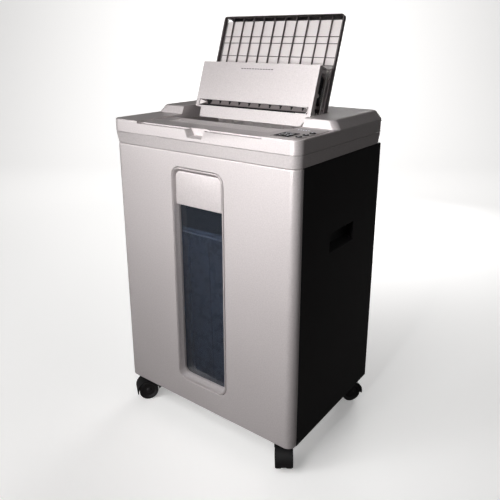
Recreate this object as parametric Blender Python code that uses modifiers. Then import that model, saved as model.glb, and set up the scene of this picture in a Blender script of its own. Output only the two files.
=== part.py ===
"""Auto-feed paper shredder on castors, built as separate named pieces.

Axes: the cabinet stands with +Z up and its front facing -Y. The origin is on the floor,
under the centre of the cabinet. Sizes are metres and angles are radians.
"""

import math

import bmesh
import bpy
from mathutils import Matrix, Vector

# ---------------------------------------------------------------- general
CURVE_STEPS = 6           # segments in a rounded corner
ROUND_SEGMENTS = 24       # segments around a turned piece
OVERRUN = 0.004           # how far a cutter runs past the face it opens
MERGE = 0.00001           # welding distance for built meshes
SMOOTH_ANGLE = math.radians(30.0)
BEVEL_SEGMENTS = 2
ALONG_X = (0.0, math.radians(90.0), 0.0)  # turns local Z onto +X
UPRIGHT = (0.0, 0.0, 0.0)

# ---------------------------------------------------------------- cabinet
CABINET_HALF_W = 0.200
CABINET_Z = (0.0550, 0.5496)
SIDE_X = (0.182, 0.200)
SIDE_Y = (-0.1262, 0.1450)
BACK_X = (-0.1814, 0.1814)
BACK_Y = (0.137, 0.145)
BASE_X = (-0.1814, 0.1814)
BASE_Y = (-0.1240, 0.1364)
BASE_Z = (0.055, 0.073)
HAND_HOLD_Y = (-0.037, 0.048)
HAND_HOLD_Z = (0.3960, 0.4215)
HAND_HOLD_DEPTH = 0.014
HAND_HOLD_RAMP = 0.009
VENT_X = (-0.110, 0.040)
VENT_Z = 0.474
VENT_PITCH = 0.010
VENT_SIZE = 0.004
VENT_COUNT = 6
RAIL_X = (0.1736, 0.1816)
RAIL_Y = (-0.120, 0.130)
RAIL_Z = (0.092, 0.116)
RAIL_GROOVE_X = (0.1700, 0.1786)
RAIL_GROOVE_Z = (0.0990, 0.1090)

# ---------------------------------------------------------------- drawer front and bin
FRONT_Y = (-0.145, -0.127)
FRONT_Z = (0.0560, 0.5494)
FRONT_RADIUS = 0.015
POCKET_X = (0.066, 0.192)
POCKET_Y = (-0.141, -0.123)
POCKET_Z = (0.070, 0.535)
WINDOW_HALF_W = 0.0590
WINDOW_Z = (0.1070, 0.5240)
WINDOW_RADIUS = 0.019
WINDOW_GROOVE = 0.0006
BEZEL_Y = (-0.1456, -0.1276)
BEZEL_HALF_OPENING = 0.0520
BEZEL_OPENING_Z = (0.1110, 0.5165)
BEZEL_OPENING_RADIUS = 0.012
FILLER_HALF_W = 0.0514
FILLER_Y = (-0.1420, -0.1300)
FILLER_Z = (0.4550, 0.5159)
PANE_Y = (-0.1312, -0.1284)
PANE_Z = (0.1116, 0.4545)
CARRIER_HALF_W = 0.1720
CARRIER_Y = (-0.1264, 0.1100)
CARRIER_Z = (0.0780, 0.1220)
CARRIER_WALL = 0.003
RUNNER_X = (0.1700, 0.1776)
RUNNER_Z = (0.1005, 0.1075)
BIN_TOP = (0.1650, -0.1180, 0.1060)      # half width, front Y and back Y at the rim
BIN_FOOT = (0.1550, -0.1080, 0.0960)     # the same at the foot
BIN_Z = (0.0816, 0.4050)
BIN_WALL = 0.0028
BIN_CORNER = 0.018
BIN_RIM = 0.0030
BIN_RIM_Z = (0.3930, 0.4050)

# ---------------------------------------------------------------- shredding head, inside
FLOOR_X = (-0.1814, 0.1814)
FLOOR_Y = (-0.1240, 0.1364)
FLOOR_Z = (0.4550, 0.4590)
FLOOR_MOUTH_X = (-0.118, 0.118)
FLOOR_MOUTH_Y = (-0.012, 0.072)
CUTTER_PLATE_X = (0.1240, 0.1280)
CUTTER_PLATE_Y = (-0.028, 0.080)
CUTTER_PLATE_Z = (0.4594, 0.5430)
SHAFT_Y = (0.0110, 0.0490)               # front and back cutter axes
SHAFT_Z = 0.500
SHAFT_RADIUS = 0.0060
SHAFT_HEAD_X = 0.131
SHAFT_FOOT_X = -0.1350                   # inside the gear
SHAFT_HOLE_RADIUS = 0.0064
DISC_RADIUS = 0.0210
SPACER_RADIUS = 0.0150
DISC_THICK = 0.0080
DISC_PITCH = 0.0200
DISC_COUNT = 12
DISC_SEGMENTS = 20
FRONT_DISC_START = -0.1160
BACK_DISC_START = -0.1060
GEAR_X = (-0.1400, -0.1310)
GEAR_TEETH = 12
GEAR_OUTER = 0.0212
GEAR_ROOT = 0.0158
GEAR_TIP_PART = 0.14                     # tooth widths as parts of the tooth pitch
GEAR_FOOT_PART = 0.27
TIE_X = (-0.1236, 0.1236)
TIE_YZ = ((-0.020, 0.468), (0.073, 0.530))
TIE_RADIUS = 0.004
GUIDE_X = (-0.118, 0.118)
GUIDE_Y = (0.0170, 0.0430)
GUIDE_Z = (0.5240, 0.5428)
GUIDE_THROAT_TOP = (0.0190, 0.0410)
GUIDE_THROAT_FOOT = (0.0270, 0.0330)
MOTOR_CENTRE = (0.108, 0.4920)
MOTOR_X = (-0.070, 0.070)
MOTOR_RADIUS = 0.027
MOTOR_NOSE_RADIUS = 0.011
MOTOR_NOSE = 0.008
GEARBOX_X = (0.134, 0.176)
GEARBOX_Y = (-0.010, 0.112)
GEARBOX_Z = (0.4610, 0.5380)
GEARBOX_BEVEL = 0.004
BOARD_X = (-0.1740, -0.1724)
BOARD_Y = (0.010, 0.120)
BOARD_Z = (0.4600, 0.5360)
ROLLER_Y = -0.0080
ROLLER_Z = 0.5340
ROLLER_RADIUS = 0.0160
ROLLER_SHAFT_RADIUS = 0.0040
ROLLER_HOLE_RADIUS = 0.0044
ROLLER_SHAFT_X = 0.1310
ROLLER_X = (0.030, 0.062)
INLET_X = (0.104, 0.134)
INLET_Y = (0.116, 0.1458)
INLET_Z = (0.4880, 0.5120)
INLET_WALL = 0.003
INLET_DEPTH = 0.016
SWITCH_X = (0.0730, 0.0910)
SWITCH_Y = (0.1300, 0.1400, 0.1470)      # back of the rocker, pivot, crown
SWITCH_HALF_H = 0.0125
SWITCH_HOLE = 0.0012
SWITCH_Z = 0.500

# ---------------------------------------------------------------- deck
COLLAR_Z = (0.5502, 0.5708)
COLLAR_INNER = (0.190, 0.135)
COLLAR_HALF = ((0.2000, 0.1450), (0.2025, 0.1475))
DECK_HALF = (0.2025, 0.1475)
DECK_Z = (0.5714, 0.5945)
DECK_RADIUS = 0.016
BLOCK_TOP_Z = 0.6090
BLOCK_FOOT = (0.2023, -0.0310, 0.1473)   # half width, front Y, back Y
BLOCK_TOP = (0.1905, -0.0245, 0.1455)
BLOCK_RADIUS = 0.012
BAY_HALF_W = 0.1365
BAY_BACK_Y = 0.0600
LEDGE_Z = 0.5900
TRAY_FRAME_Z = 0.5915
TRAY_FRAME_Y = -0.1380
WELL_FRONT_Y = -0.0500
POCKET_HALF_W = 0.1140
TRAY_POCKET_Y = -0.0985
TRAY_POCKET_Z = 0.5880
TRAY_PANEL_HALF_W = 0.1130
TRAY_PANEL_Y = (-0.0975, -0.0510)
TRAY_PANEL_Z = (0.5884, 0.5905)
CAVITY_Z = 0.5850
CAVITY_HALF = (0.1985, 0.1440)
CAVITY_FRONT_Y = -0.1280
CAVITY_RADIUS = 0.0120
CAVITY_CHEEK_X = 0.045
BLOCK_CAVITY_Z = 0.6050
BLOCK_CAVITY_X = (0.1405, 0.1840)
BLOCK_CAVITY_Y = (-0.0180, 0.1400)
BLOCK_CAVITY_BACK_Y = 0.0635
NOTCH_TOP_HALF = 0.0250
NOTCH_FOOT_HALF = 0.0155
NOTCH_Y = (-0.1520, -0.1335)
NOTCH_Z = (0.5765, 0.5960)
WELL_HALF_W = (0.1368, 0.1396)           # inside and outside
WELL_Y = (-0.0504, 0.0780)
WELL_WALL = 0.0025
WELL_Z = (0.5434, 0.5846)
WELL_FLOOR_Z = 0.5460
WELL_THROAT_Y = (0.0190, 0.0410)
WELL_THROAT_HALF_W = 0.1160
WELL_ROLLER_GAP = 0.0140
WELL_ROLLER_X = (0.0275, 0.0645)
PANEL_X = (0.1420, 0.1960)
PANEL_Y = (-0.1370, -0.0460)
PANEL_Z = (0.5926, 0.5951)
PANEL_RADIUS = 0.004
PANEL_POCKET_Z = 0.5922
PANEL_POCKET_GAP = 0.0005
DISPLAY_X = (0.1460, 0.1730)
DISPLAY_Y = (-0.1310, -0.0960)
DISPLAY_Z = (0.5940, 0.5956)
DISPLAY_POCKET_GAP = 0.0004
BUTTON_X = 0.1860
BUTTON_Y = (-0.1220, -0.1020, -0.0820)
BUTTON_Z = (0.5870, 0.5966)
BUTTON_RADIUS = 0.0050
BUTTON_HOLE_RADIUS = 0.0055
BUTTON_NAMES = ("button_power", "button_reverse", "button_forward")

# ---------------------------------------------------------------- lid, measured closed
# Lid pieces are drawn closed, with the hinge as their zero: u runs forward along the lid
# and w runs up through it. They are then opened about the hinge by LID_OPEN.
HINGE_Y = 0.0460
HINGE_Z = 0.6000
LID_OPEN = math.radians(109.0)
LID_HALF_W = 0.1350
COVER_U = (-0.0060, 0.1860)
COVER_W = (0.0050, 0.0090)
COVER_RADIUS = 0.006
FRAME_U = (-0.0080, 0.1860)
FRAME_W = (-0.0080, 0.0046)
FRAME_INNER_HALF_W = 0.1290
FRAME_INNER_U = (0.0140, 0.1825)
PAN_HALF_W = 0.1286
PAN_U = (0.0144, 0.1821)
PAN_W = (-0.0060, 0.0042)
PAN_WALL = 0.0016
PAN_FLOOR_W = 0.0020
RIB_COUNT = 10
RIB_PITCH = 0.0247
RIB_THICK = 0.0018
RIB_U = (0.0850, 0.1800)
RIB_W = (-0.0052, 0.0016)
CROSS_U = (0.1194, 0.1493, 0.1648)
CROSS_THICK = 0.0012
CROSS_W = (0.0004, 0.0016)
HOUSING_X = (-0.1268, 0.1120)
HOUSING_OUTLINE = ((0.084, 0.0016), (0.084, -0.009), (0.079, -0.009),
                   (0.079, -0.027), (0.017, -0.027), (0.017, 0.0016))
HOUSING_HOLLOW_X = (-0.1240, 0.1090)
HOUSING_HOLLOW_U = (0.0200, 0.0760)
HOUSING_HOLLOW_W = (-0.031, -0.005)
LEVER_X = (0.1150, 0.1230)
LEVER_OUTLINE = ((0.0180, -0.0100), (0.0300, -0.0220), (0.0420, -0.0290), (0.0470, -0.0240),
                 (0.0360, -0.0150), (0.0520, -0.0150), (0.0640, -0.0290), (0.0720, -0.0290),
                 (0.0740, -0.0220), (0.0660, -0.0070), (0.0200, -0.0070))
PLATE_HALF_W = 0.1310
PLATE_OUTLINE = ((0.1310, 0.0823), (-0.1310, 0.0823), (-0.1310, -0.0060), (-0.1170, -0.0080),
                 (-0.1160, -0.0266), (0.1138, -0.0266), (0.1270, -0.0085), (0.1310, -0.0060))
PLATE_W = (-0.0433, -0.0408)
SKIRT_W = (-0.0420, -0.0205)
RIGHT_SKIRT_W = (-0.0420, -0.0330)
SKIRT_THICK = 0.0024
SLOT_HALF_W = 0.1235
SLOT_U = (-0.0037, 0.0082)
COMB_HALF_W = 0.1226
COMB_U = (-0.0026, 0.0098)
COMB_W = (-0.0404, -0.0340)
COMB_NOTCH_COUNT = 11
COMB_NOTCH_PITCH = 0.0231
COMB_NOTCH_START = -0.1217
COMB_NOTCH_W = 0.0044
COMB_NOTCH_U = (0.0024, 0.0130)
PIN_X = (0.1236, 0.1500)
PIN_RADIUS = 0.0030
PIN_HOLE_RADIUS = 0.0034
PIN_HOLE_X = (0.1226, 0.1440)

# ---------------------------------------------------------------- castors
CASTOR_XY = (0.159, 0.106)
CASTOR_TRAIL = 0.0240
CASTOR_YAW = {"front_left": math.radians(234.0), "front_right": math.radians(-54.0),
              "back_left": math.radians(126.0), "back_right": math.radians(54.0)}
CASTOR_SIGNS = {"front_left": (-1, -1), "front_right": (1, -1),
                "back_left": (-1, 1), "back_right": (1, 1)}
CASTOR_PLATE = ((0.0, 0.0546), (0.0200, 0.0546), (0.0200, 0.0516), (0.0048, 0.0516),
                (0.0048, 0.0340), (0.0, 0.0340))
WHEEL_RADIUS = 0.0200
WHEEL_BORE = 0.0034
WHEEL_INNER = 0.0042
WHEEL_OUTER = 0.0155
WHEEL_EDGE = 0.0015
HOOD_HALF_W = 0.0160
HOOD_WEB = 0.0034
HOOD_RADIUS = 0.0242
HOOD_POCKET_RADIUS = 0.0214
HOOD_HUB_REACH = 0.0100                   # hub reach past the swivel axis
HOOD_TOE_X = 0.0080
HOOD_ARC = (math.radians(-10.0), math.radians(90.0))
HOOD_ARC_STEPS = 8
HOOD_Z = (0.0160, 0.0508)
HOOD_HUB_Z = 0.0330
HOOD_STEM_RADIUS = 0.0052
HOOD_AXLE_RADIUS = 0.0038

# ---------------------------------------------------------------- finishes
FINISHES = {
    "silver_paint": ((0.62, 0.58, 0.58, 1.0), 0.30, 0.42),
    "pale_plastic": ((0.70, 0.66, 0.66, 1.0), 0.0, 0.50),
    "black_laminate": ((0.012, 0.011, 0.013, 1.0), 0.0, 0.45),
    "black_plastic": ((0.020, 0.019, 0.020, 1.0), 0.0, 0.50),
    "grey_plastic": ((0.22, 0.20, 0.20, 1.0), 0.0, 0.50),
    "smoked_acrylic": ((0.045, 0.055, 0.070, 1.0), 0.0, 0.10),
    "cut_steel": ((0.45, 0.45, 0.46, 1.0), 1.0, 0.35),
    "zinc_steel": ((0.55, 0.55, 0.56, 1.0), 1.0, 0.40),
    "circuit_board": ((0.02, 0.16, 0.06, 1.0), 0.0, 0.45),
    "rubber": ((0.030, 0.030, 0.032, 1.0), 0.0, 0.75),
}

for leftover in list(bpy.data.objects):
    bpy.data.objects.remove(leftover, do_unlink=True)


def new_collection(name):
    collection = bpy.data.collections.new(name)
    bpy.context.scene.collection.children.link(collection)
    return collection


PARTS = new_collection("paper_shredder")
CUTTERS = new_collection("cutters")


def add_material(obj, finish):
    colour, metallic, roughness = FINISHES[finish]
    material = bpy.data.materials.new(obj.name + "_" + finish)
    material.use_nodes = True
    shader = material.node_tree.nodes["Principled BSDF"]
    shader.inputs["Base Color"].default_value = colour
    shader.inputs["Metallic"].default_value = metallic
    shader.inputs["Roughness"].default_value = roughness
    obj.data.materials.append(material)


def add_object(name, bm, finish=None, origin=(0.0, 0.0, 0.0), rotation=(0.0, 0.0, 0.0)):
    """Put a built mesh in the scene: a part when it has a finish, else a cutter."""
    mesh = bpy.data.meshes.new(name)
    bm.to_mesh(mesh)
    bm.free()
    mesh.shade_smooth()
    mesh.set_sharp_from_angle(angle=SMOOTH_ANGLE)
    obj = bpy.data.objects.new(name, mesh)
    obj.location = origin
    obj.rotation_euler = rotation
    if finish:
        PARTS.objects.link(obj)
        add_material(obj, finish)
    else:
        CUTTERS.objects.link(obj)
        obj.hide_render = True
        obj.display_type = "WIRE"
    return obj


def combine(obj, tool, operation):
    modifier = obj.modifiers.new(tool.name, "BOOLEAN")
    modifier.operation = operation
    modifier.solver = "EXACT"
    modifier.object = tool


def cut(obj, tool):
    combine(obj, tool, "DIFFERENCE")


def join(obj, tool):
    combine(obj, tool, "UNION")


def soften(obj, width):
    """Round the sharp edges of a piece."""
    modifier = obj.modifiers.new("edges", "BEVEL")
    modifier.width = width
    modifier.segments = BEVEL_SEGMENTS
    modifier.limit_method = "ANGLE"


def boxes(name, spans, finish=None, origin=(0.0, 0.0, 0.0)):
    """Boxes given by their X, Y and Z spans, in one object: a row of slots or bars."""
    bm = bmesh.new()
    for x, y, z in spans:
        size = Vector((x[1] - x[0], y[1] - y[0], z[1] - z[0], 1.0))
        centre = Vector((sum(x), sum(y), sum(z))) / 2.0 - Vector(origin)
        bmesh.ops.create_cube(bm, size=1.0, matrix=Matrix.Translation(centre) @ Matrix.Diagonal(size))
    return add_object(name, bm, finish, origin)


def block(name, x, y, z, finish=None, origin=(0.0, 0.0, 0.0)):
    return boxes(name, [(x, y, z)], finish, origin)


def axis_frame(axis, span, centre=(0.0, 0.0)):
    """Matrix that stands a flat outline or a rod, drawn along local Z, on a world axis."""
    columns = {"X": ((0, 1, 0), (0, 0, 1), (1, 0, 0)), "Y": ((1, 0, 0), (0, 0, 1), (0, -1, 0)),
               "Z": ((1, 0, 0), (0, 1, 0), (0, 0, 1))}[axis]
    turn = Matrix(columns).transposed().to_4x4()
    middle = sum(span) / 2.0
    along = -middle if axis == "Y" else middle
    return turn @ Matrix.Translation((centre[0], centre[1], along))


def prism(name, outline, axis, span, finish=None, origin=(0.0, 0.0, 0.0)):
    """Extrude a closed outline along an axis: a filled 2D curve, made a mesh."""
    curve = bpy.data.curves.new(name, "CURVE")
    curve.dimensions = "2D"
    curve.fill_mode = "BOTH"
    curve.extrude = (span[1] - span[0]) / 2.0
    spline = curve.splines.new("POLY")
    spline.points.add(len(outline) - 1)
    for point, (a, b) in zip(spline.points, outline):
        point.co = (a, b, 0.0, 1.0)
    spline.use_cyclic_u = True
    drawn = bpy.data.objects.new(name + "_curve", curve)
    CUTTERS.objects.link(drawn)
    bpy.context.view_layer.update()
    mesh = bpy.data.meshes.new_from_object(drawn.evaluated_get(bpy.context.evaluated_depsgraph_get()))
    bpy.data.objects.remove(drawn, do_unlink=True)
    bm = bmesh.new()
    bm.from_mesh(mesh)
    bpy.data.meshes.remove(mesh)
    bmesh.ops.remove_doubles(bm, verts=bm.verts, dist=MERGE)
    bmesh.ops.dissolve_limit(bm, angle_limit=MERGE, verts=bm.verts, edges=bm.edges)
    stand = Matrix.Translation(-Vector(origin)) @ axis_frame(axis, span)
    bmesh.ops.transform(bm, matrix=stand, verts=bm.verts)
    bmesh.ops.recalc_face_normals(bm, faces=bm.faces)
    return add_object(name, bm, finish, origin)


def rod(name, axis, span, centre, radius, finish=None, origin=(0.0, 0.0, 0.0)):
    bm = bmesh.new()
    matrix = Matrix.Translation(-Vector(origin)) @ axis_frame(axis, span, centre)
    bmesh.ops.create_cone(bm, cap_ends=True, segments=ROUND_SEGMENTS, radius1=radius, radius2=radius,
                          depth=span[1] - span[0], matrix=matrix)
    return add_object(name, bm, finish, origin)


def loft(name, rings, finish=None, origin=(0.0, 0.0, 0.0)):
    """Skin unlike closed sections of equal point count, and cap both ends."""
    bm = bmesh.new()
    built = [[bm.verts.new(Vector(point) - Vector(origin)) for point in ring] for ring in rings]
    for low, high in zip(built, built[1:]):
        for i in range(len(low)):
            j = (i + 1) % len(low)
            bm.faces.new((low[i], low[j], high[j], high[i]))
    bm.faces.new(built[0][::-1])
    bm.faces.new(built[-1])
    return add_object(name, bm, finish, origin)


def turned(name, profile, location, rotation, finish, segments):
    """Turn a profile of (radius, height) pairs, from top to bottom, about local Z."""
    bm = bmesh.new()
    points = [bm.verts.new((radius, 0.0, height)) for radius, height in profile]
    for first, second in zip(points, points[1:]):
        bm.edges.new((first, second))
    obj = add_object(name, bm, finish, location, rotation)
    screw = obj.modifiers.new("turn", "SCREW")
    screw.steps = segments
    screw.render_steps = segments
    screw.use_merge_vertices = True
    screw.merge_threshold = MERGE
    return obj


def rounded(a, b, radii):
    """Rectangle outline over spans a and b; radii run anticlockwise from the low corner."""
    corners = ((a[0], b[0], 180), (a[1], b[0], 270), (a[1], b[1], 0), (a[0], b[1], 90))
    signs = ((1, 1), (-1, 1), (-1, -1), (1, -1))
    outline = []
    for (x, y, start), (sx, sy), radius in zip(corners, signs, radii):
        if not radius:
            outline.append((x, y))
            continue
        for step in range(CURVE_STEPS + 1):
            angle = math.radians(start + 90.0 * step / CURVE_STEPS)
            outline.append((x + sx * radius + radius * math.cos(angle),
                            y + sy * radius + radius * math.sin(angle)))
    return outline


def mirrored(span):
    return (-span[1], -span[0])


def sided(span, side):
    return span if side > 0 else mirrored(span)


# ---------------------------------------------------------------- cabinet
def build_cabinet():
    block("base_plate", BASE_X, BASE_Y, BASE_Z, "black_plastic")
    for side, name in ((-1, "side_panel_left"), (1, "side_panel_right")):
        x = sided(SIDE_X, side)
        panel = block(name, x, SIDE_Y, CABINET_Z, "black_laminate")
        face = side * CABINET_HALF_W
        inner = side * (CABINET_HALF_W - HAND_HOLD_DEPTH)
        outer = side * (CABINET_HALF_W + OVERRUN)
        run = HAND_HOLD_RAMP * OVERRUN / HAND_HOLD_DEPTH
        outline = ((inner, HAND_HOLD_Z[1]), (outer, HAND_HOLD_Z[1]),
                   (outer, HAND_HOLD_Z[0] - HAND_HOLD_RAMP - run),
                   (face, HAND_HOLD_Z[0] - HAND_HOLD_RAMP), (inner, HAND_HOLD_Z[0]))
        cut(panel, prism(name + "_hand_hold", outline, "Y", HAND_HOLD_Y))
        rail = block("drawer_rail_" + name[11:], sided(RAIL_X, side), RAIL_Y, RAIL_Z, "zinc_steel")
        groove = (RAIL_Y[0] - OVERRUN, RAIL_Y[1] + OVERRUN)
        cut(rail, block(name + "_rail_groove", sided(RAIL_GROOVE_X, side), groove, RAIL_GROOVE_Z))
    back = block("back_panel", BACK_X, BACK_Y, CABINET_Z, "black_laminate")
    through = (BACK_Y[0] - OVERRUN, BACK_Y[1] + OVERRUN)
    rows = [(VENT_X, through, (VENT_Z + VENT_PITCH * i, VENT_Z + VENT_PITCH * i + VENT_SIZE))
            for i in range(VENT_COUNT)]
    cut(back, boxes("back_panel_vents", rows))
    inlet = [(span[0] - WINDOW_GROOVE, span[1] + WINDOW_GROOVE) for span in (INLET_X, INLET_Z)]
    rocker_x = (SWITCH_X[0] - SWITCH_HOLE, SWITCH_X[1] + SWITCH_HOLE)
    rocker_z = (SWITCH_Z - SWITCH_HALF_H - SWITCH_HOLE, SWITCH_Z + SWITCH_HALF_H + SWITCH_HOLE)
    cut(back, boxes("back_panel_fittings", [(inlet[0], through, inlet[1]), (rocker_x, through, rocker_z)]))
    plug = block("power_inlet", INLET_X, INLET_Y, INLET_Z, "black_plastic")
    socket = [(span[0] + INLET_WALL, span[1] - INLET_WALL) for span in (INLET_X, INLET_Z)]
    reach = (INLET_Y[1] - INLET_DEPTH, INLET_Y[1] + OVERRUN)
    cut(plug, block("power_inlet_socket", socket[0], reach, socket[1]))
    back_y, pivot_y, crown_y = SWITCH_Y
    outline = ((back_y, SWITCH_Z - SWITCH_HALF_H / 2.0), (pivot_y, SWITCH_Z - SWITCH_HALF_H),
               (crown_y, SWITCH_Z - SWITCH_HALF_H), (pivot_y + (crown_y - pivot_y) / 2.0, SWITCH_Z),
               (crown_y, SWITCH_Z + SWITCH_HALF_H), (pivot_y, SWITCH_Z + SWITCH_HALF_H),
               (back_y, SWITCH_Z + SWITCH_HALF_H / 2.0))
    prism("power_switch", outline, "X", SWITCH_X, "black_plastic", (sum(SWITCH_X) / 2.0, pivot_y, SWITCH_Z))


# ---------------------------------------------------------------- drawer
def build_drawer():
    plan = rounded((-CABINET_HALF_W, CABINET_HALF_W), FRONT_Y, (FRONT_RADIUS, FRONT_RADIUS, 0, 0))
    front = prism("front_panel", plan, "Z", FRONT_Z, "silver_paint")
    opening = rounded((-WINDOW_HALF_W, WINDOW_HALF_W), WINDOW_Z, (WINDOW_RADIUS,) * 4)
    through = (FRONT_Y[0] - OVERRUN, FRONT_Y[1] + OVERRUN)
    cut(front, prism("front_panel_window", opening, "Y", through))
    pockets = [(sided(POCKET_X, side), POCKET_Y, POCKET_Z) for side in (-1, 1)]
    cut(front, boxes("front_panel_pockets", pockets))

    inset = WINDOW_GROOVE
    ring = rounded((-WINDOW_HALF_W + inset, WINDOW_HALF_W - inset),
                   (WINDOW_Z[0] + inset, WINDOW_Z[1] - inset), (WINDOW_RADIUS - inset,) * 4)
    bezel = prism("window_bezel", ring, "Y", BEZEL_Y, "silver_paint")
    hole = rounded((-BEZEL_HALF_OPENING, BEZEL_HALF_OPENING), BEZEL_OPENING_Z, (BEZEL_OPENING_RADIUS,) * 4)
    cut(bezel, prism("window_bezel_opening", hole, "Y", through))
    top = rounded((-FILLER_HALF_W, FILLER_HALF_W), FILLER_Z,
                  (0, 0, BEZEL_OPENING_RADIUS, BEZEL_OPENING_RADIUS))
    prism("window_filler", top, "Y", FILLER_Y, "silver_paint")
    glass = rounded((-FILLER_HALF_W, FILLER_HALF_W), PANE_Z,
                    (BEZEL_OPENING_RADIUS, BEZEL_OPENING_RADIUS, 0, 0))
    prism("window_pane", glass, "Y", PANE_Y, "smoked_acrylic")

    carrier = block("bin_carrier", (-CARRIER_HALF_W, CARRIER_HALF_W), CARRIER_Y, CARRIER_Z, "black_plastic")
    inner = CARRIER_HALF_W - CARRIER_WALL
    ends = (CARRIER_Y[0] - OVERRUN, CARRIER_Y[1] + OVERRUN)
    cut(carrier, block("bin_carrier_hollow", (-inner, inner), ends,
                       (CARRIER_Z[0] + CARRIER_WALL, CARRIER_Z[1] + OVERRUN)))
    join(carrier, boxes("bin_carrier_runners", [(sided(RUNNER_X, side), CARRIER_Y, RUNNER_Z)
                                                 for side in (-1, 1)]))

    def bin_ring(z, inset):
        part = (z - BIN_Z[0]) / (BIN_Z[1] - BIN_Z[0])
        half, front_y, back_y = (foot + (top - foot) * part for foot, top in zip(BIN_FOOT, BIN_TOP))
        outline = rounded((-half + inset, half - inset), (front_y + inset, back_y - inset),
                          (BIN_CORNER - inset,) * 4)
        return [(x, y, z) for x, y in outline]

    bin_body = loft("waste_bin", [bin_ring(BIN_Z[0], 0.0), bin_ring(BIN_RIM_Z[0], 0.0),
                                  bin_ring(BIN_RIM_Z[0], -BIN_RIM), bin_ring(BIN_RIM_Z[1], -BIN_RIM)],
                    "black_plastic")
    cut(bin_body, loft("waste_bin_hollow", [bin_ring(BIN_Z[0] + BIN_WALL, BIN_WALL),
                                            bin_ring(BIN_Z[1] + OVERRUN, BIN_WALL)]))


# ---------------------------------------------------------------- shredding head
def cutter_profile(start):
    """Disc and spacer steps of one cutter shaft, as (radius, X) pairs."""
    profile = [(0.0, SHAFT_HEAD_X), (SHAFT_RADIUS, SHAFT_HEAD_X)]
    for i in reversed(range(DISC_COUNT)):
        x = start + DISC_PITCH * i
        outer = SHAFT_RADIUS if i == DISC_COUNT - 1 else SPACER_RADIUS
        inner = SHAFT_RADIUS if i == 0 else SPACER_RADIUS
        profile += [(outer, x + DISC_THICK), (DISC_RADIUS, x + DISC_THICK), (DISC_RADIUS, x), (inner, x)]
    return profile + [(SHAFT_RADIUS, SHAFT_FOOT_X), (0.0, SHAFT_FOOT_X)]


def gear_outline(centre, phase):
    """Toothed wheel outline in the Y-Z plane."""
    outline = []
    pitch = 2.0 * math.pi / GEAR_TEETH
    for tooth in range(GEAR_TEETH):
        middle = pitch * (tooth + phase)
        for radius, part in ((GEAR_ROOT, -GEAR_FOOT_PART), (GEAR_OUTER, -GEAR_TIP_PART),
                             (GEAR_OUTER, GEAR_TIP_PART), (GEAR_ROOT, GEAR_FOOT_PART)):
            angle = middle + part * pitch
            outline.append((centre[0] + radius * math.cos(angle), centre[1] + radius * math.sin(angle)))
    return outline


def build_head():
    floor = block("head_floor", FLOOR_X, FLOOR_Y, FLOOR_Z, "zinc_steel")
    cut(floor, block("head_floor_mouth", FLOOR_MOUTH_X, FLOOR_MOUTH_Y,
                     (FLOOR_Z[0] - OVERRUN, FLOOR_Z[1] + OVERRUN)))
    for side, name in ((-1, "cutter_plate_left"), (1, "cutter_plate_right")):
        x = sided(CUTTER_PLATE_X, side)
        plate = block(name, x, CUTTER_PLATE_Y, CUTTER_PLATE_Z, "zinc_steel")
        through = (x[0] - OVERRUN, x[1] + OVERRUN)
        for index, y in enumerate(SHAFT_Y):
            cut(plate, rod(name + "_bore_" + str(index), "X", through, (y, SHAFT_Z), SHAFT_HOLE_RADIUS))
        cut(plate, rod(name + "_roller_bore", "X", through, (ROLLER_Y, ROLLER_Z), ROLLER_HOLE_RADIUS))
    for name, (y, z) in zip(("tie_bar_front", "tie_bar_back"), TIE_YZ):
        rod(name, "X", TIE_X, (y, z), TIE_RADIUS, "zinc_steel")

    guide = block("throat_guide", GUIDE_X, GUIDE_Y, GUIDE_Z, "black_plastic")
    throat = ((GUIDE_THROAT_FOOT[0], GUIDE_Z[0] - OVERRUN), (GUIDE_THROAT_FOOT[1], GUIDE_Z[0] - OVERRUN),
              (GUIDE_THROAT_TOP[1], GUIDE_Z[1] + OVERRUN), (GUIDE_THROAT_TOP[0], GUIDE_Z[1] + OVERRUN))
    reach = (GUIDE_X[0] + GUIDE_THROAT_FOOT[0] / 8.0, GUIDE_X[1] - GUIDE_THROAT_FOOT[0] / 8.0)
    cut(guide, prism("throat_guide_slot", throat, "X", reach))

    starts = (FRONT_DISC_START, BACK_DISC_START)
    names = ("cutter_shaft_front", "cutter_shaft_back")
    for name, y, start, phase in zip(names, SHAFT_Y, starts, (0.0, 0.5)):
        centre = (y, SHAFT_Z)
        shaft = turned(name, cutter_profile(start), (0.0, y, SHAFT_Z), ALONG_X, "cut_steel", DISC_SEGMENTS)
        join(shaft, prism(name + "_gear", gear_outline(centre, phase), "X", GEAR_X))

    nose = MOTOR_NOSE_RADIUS
    tip = MOTOR_X[1] + MOTOR_NOSE
    profile = ((0.0, tip), (nose, tip), (nose, MOTOR_X[1]), (MOTOR_RADIUS, MOTOR_X[1]),
               (MOTOR_RADIUS, MOTOR_X[0]), (0.0, MOTOR_X[0]))
    turned("drive_motor", profile, (0.0, *MOTOR_CENTRE), ALONG_X, "zinc_steel", ROUND_SEGMENTS)
    soften(block("gearbox", GEARBOX_X, GEARBOX_Y, GEARBOX_Z, "grey_plastic"), GEARBOX_BEVEL)
    block("control_board", BOARD_X, BOARD_Y, BOARD_Z, "circuit_board")

    inner, outer = ROLLER_X
    right = [(0.0, ROLLER_SHAFT_X), (ROLLER_SHAFT_RADIUS, ROLLER_SHAFT_X), (ROLLER_SHAFT_RADIUS, outer),
             (ROLLER_RADIUS, outer), (ROLLER_RADIUS, inner), (ROLLER_SHAFT_RADIUS, inner)]
    left = [(radius, -x) for radius, x in reversed(right)]
    turned("feed_roller", right + left, (0.0, ROLLER_Y, ROLLER_Z), ALONG_X, "rubber", ROUND_SEGMENTS)


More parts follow.
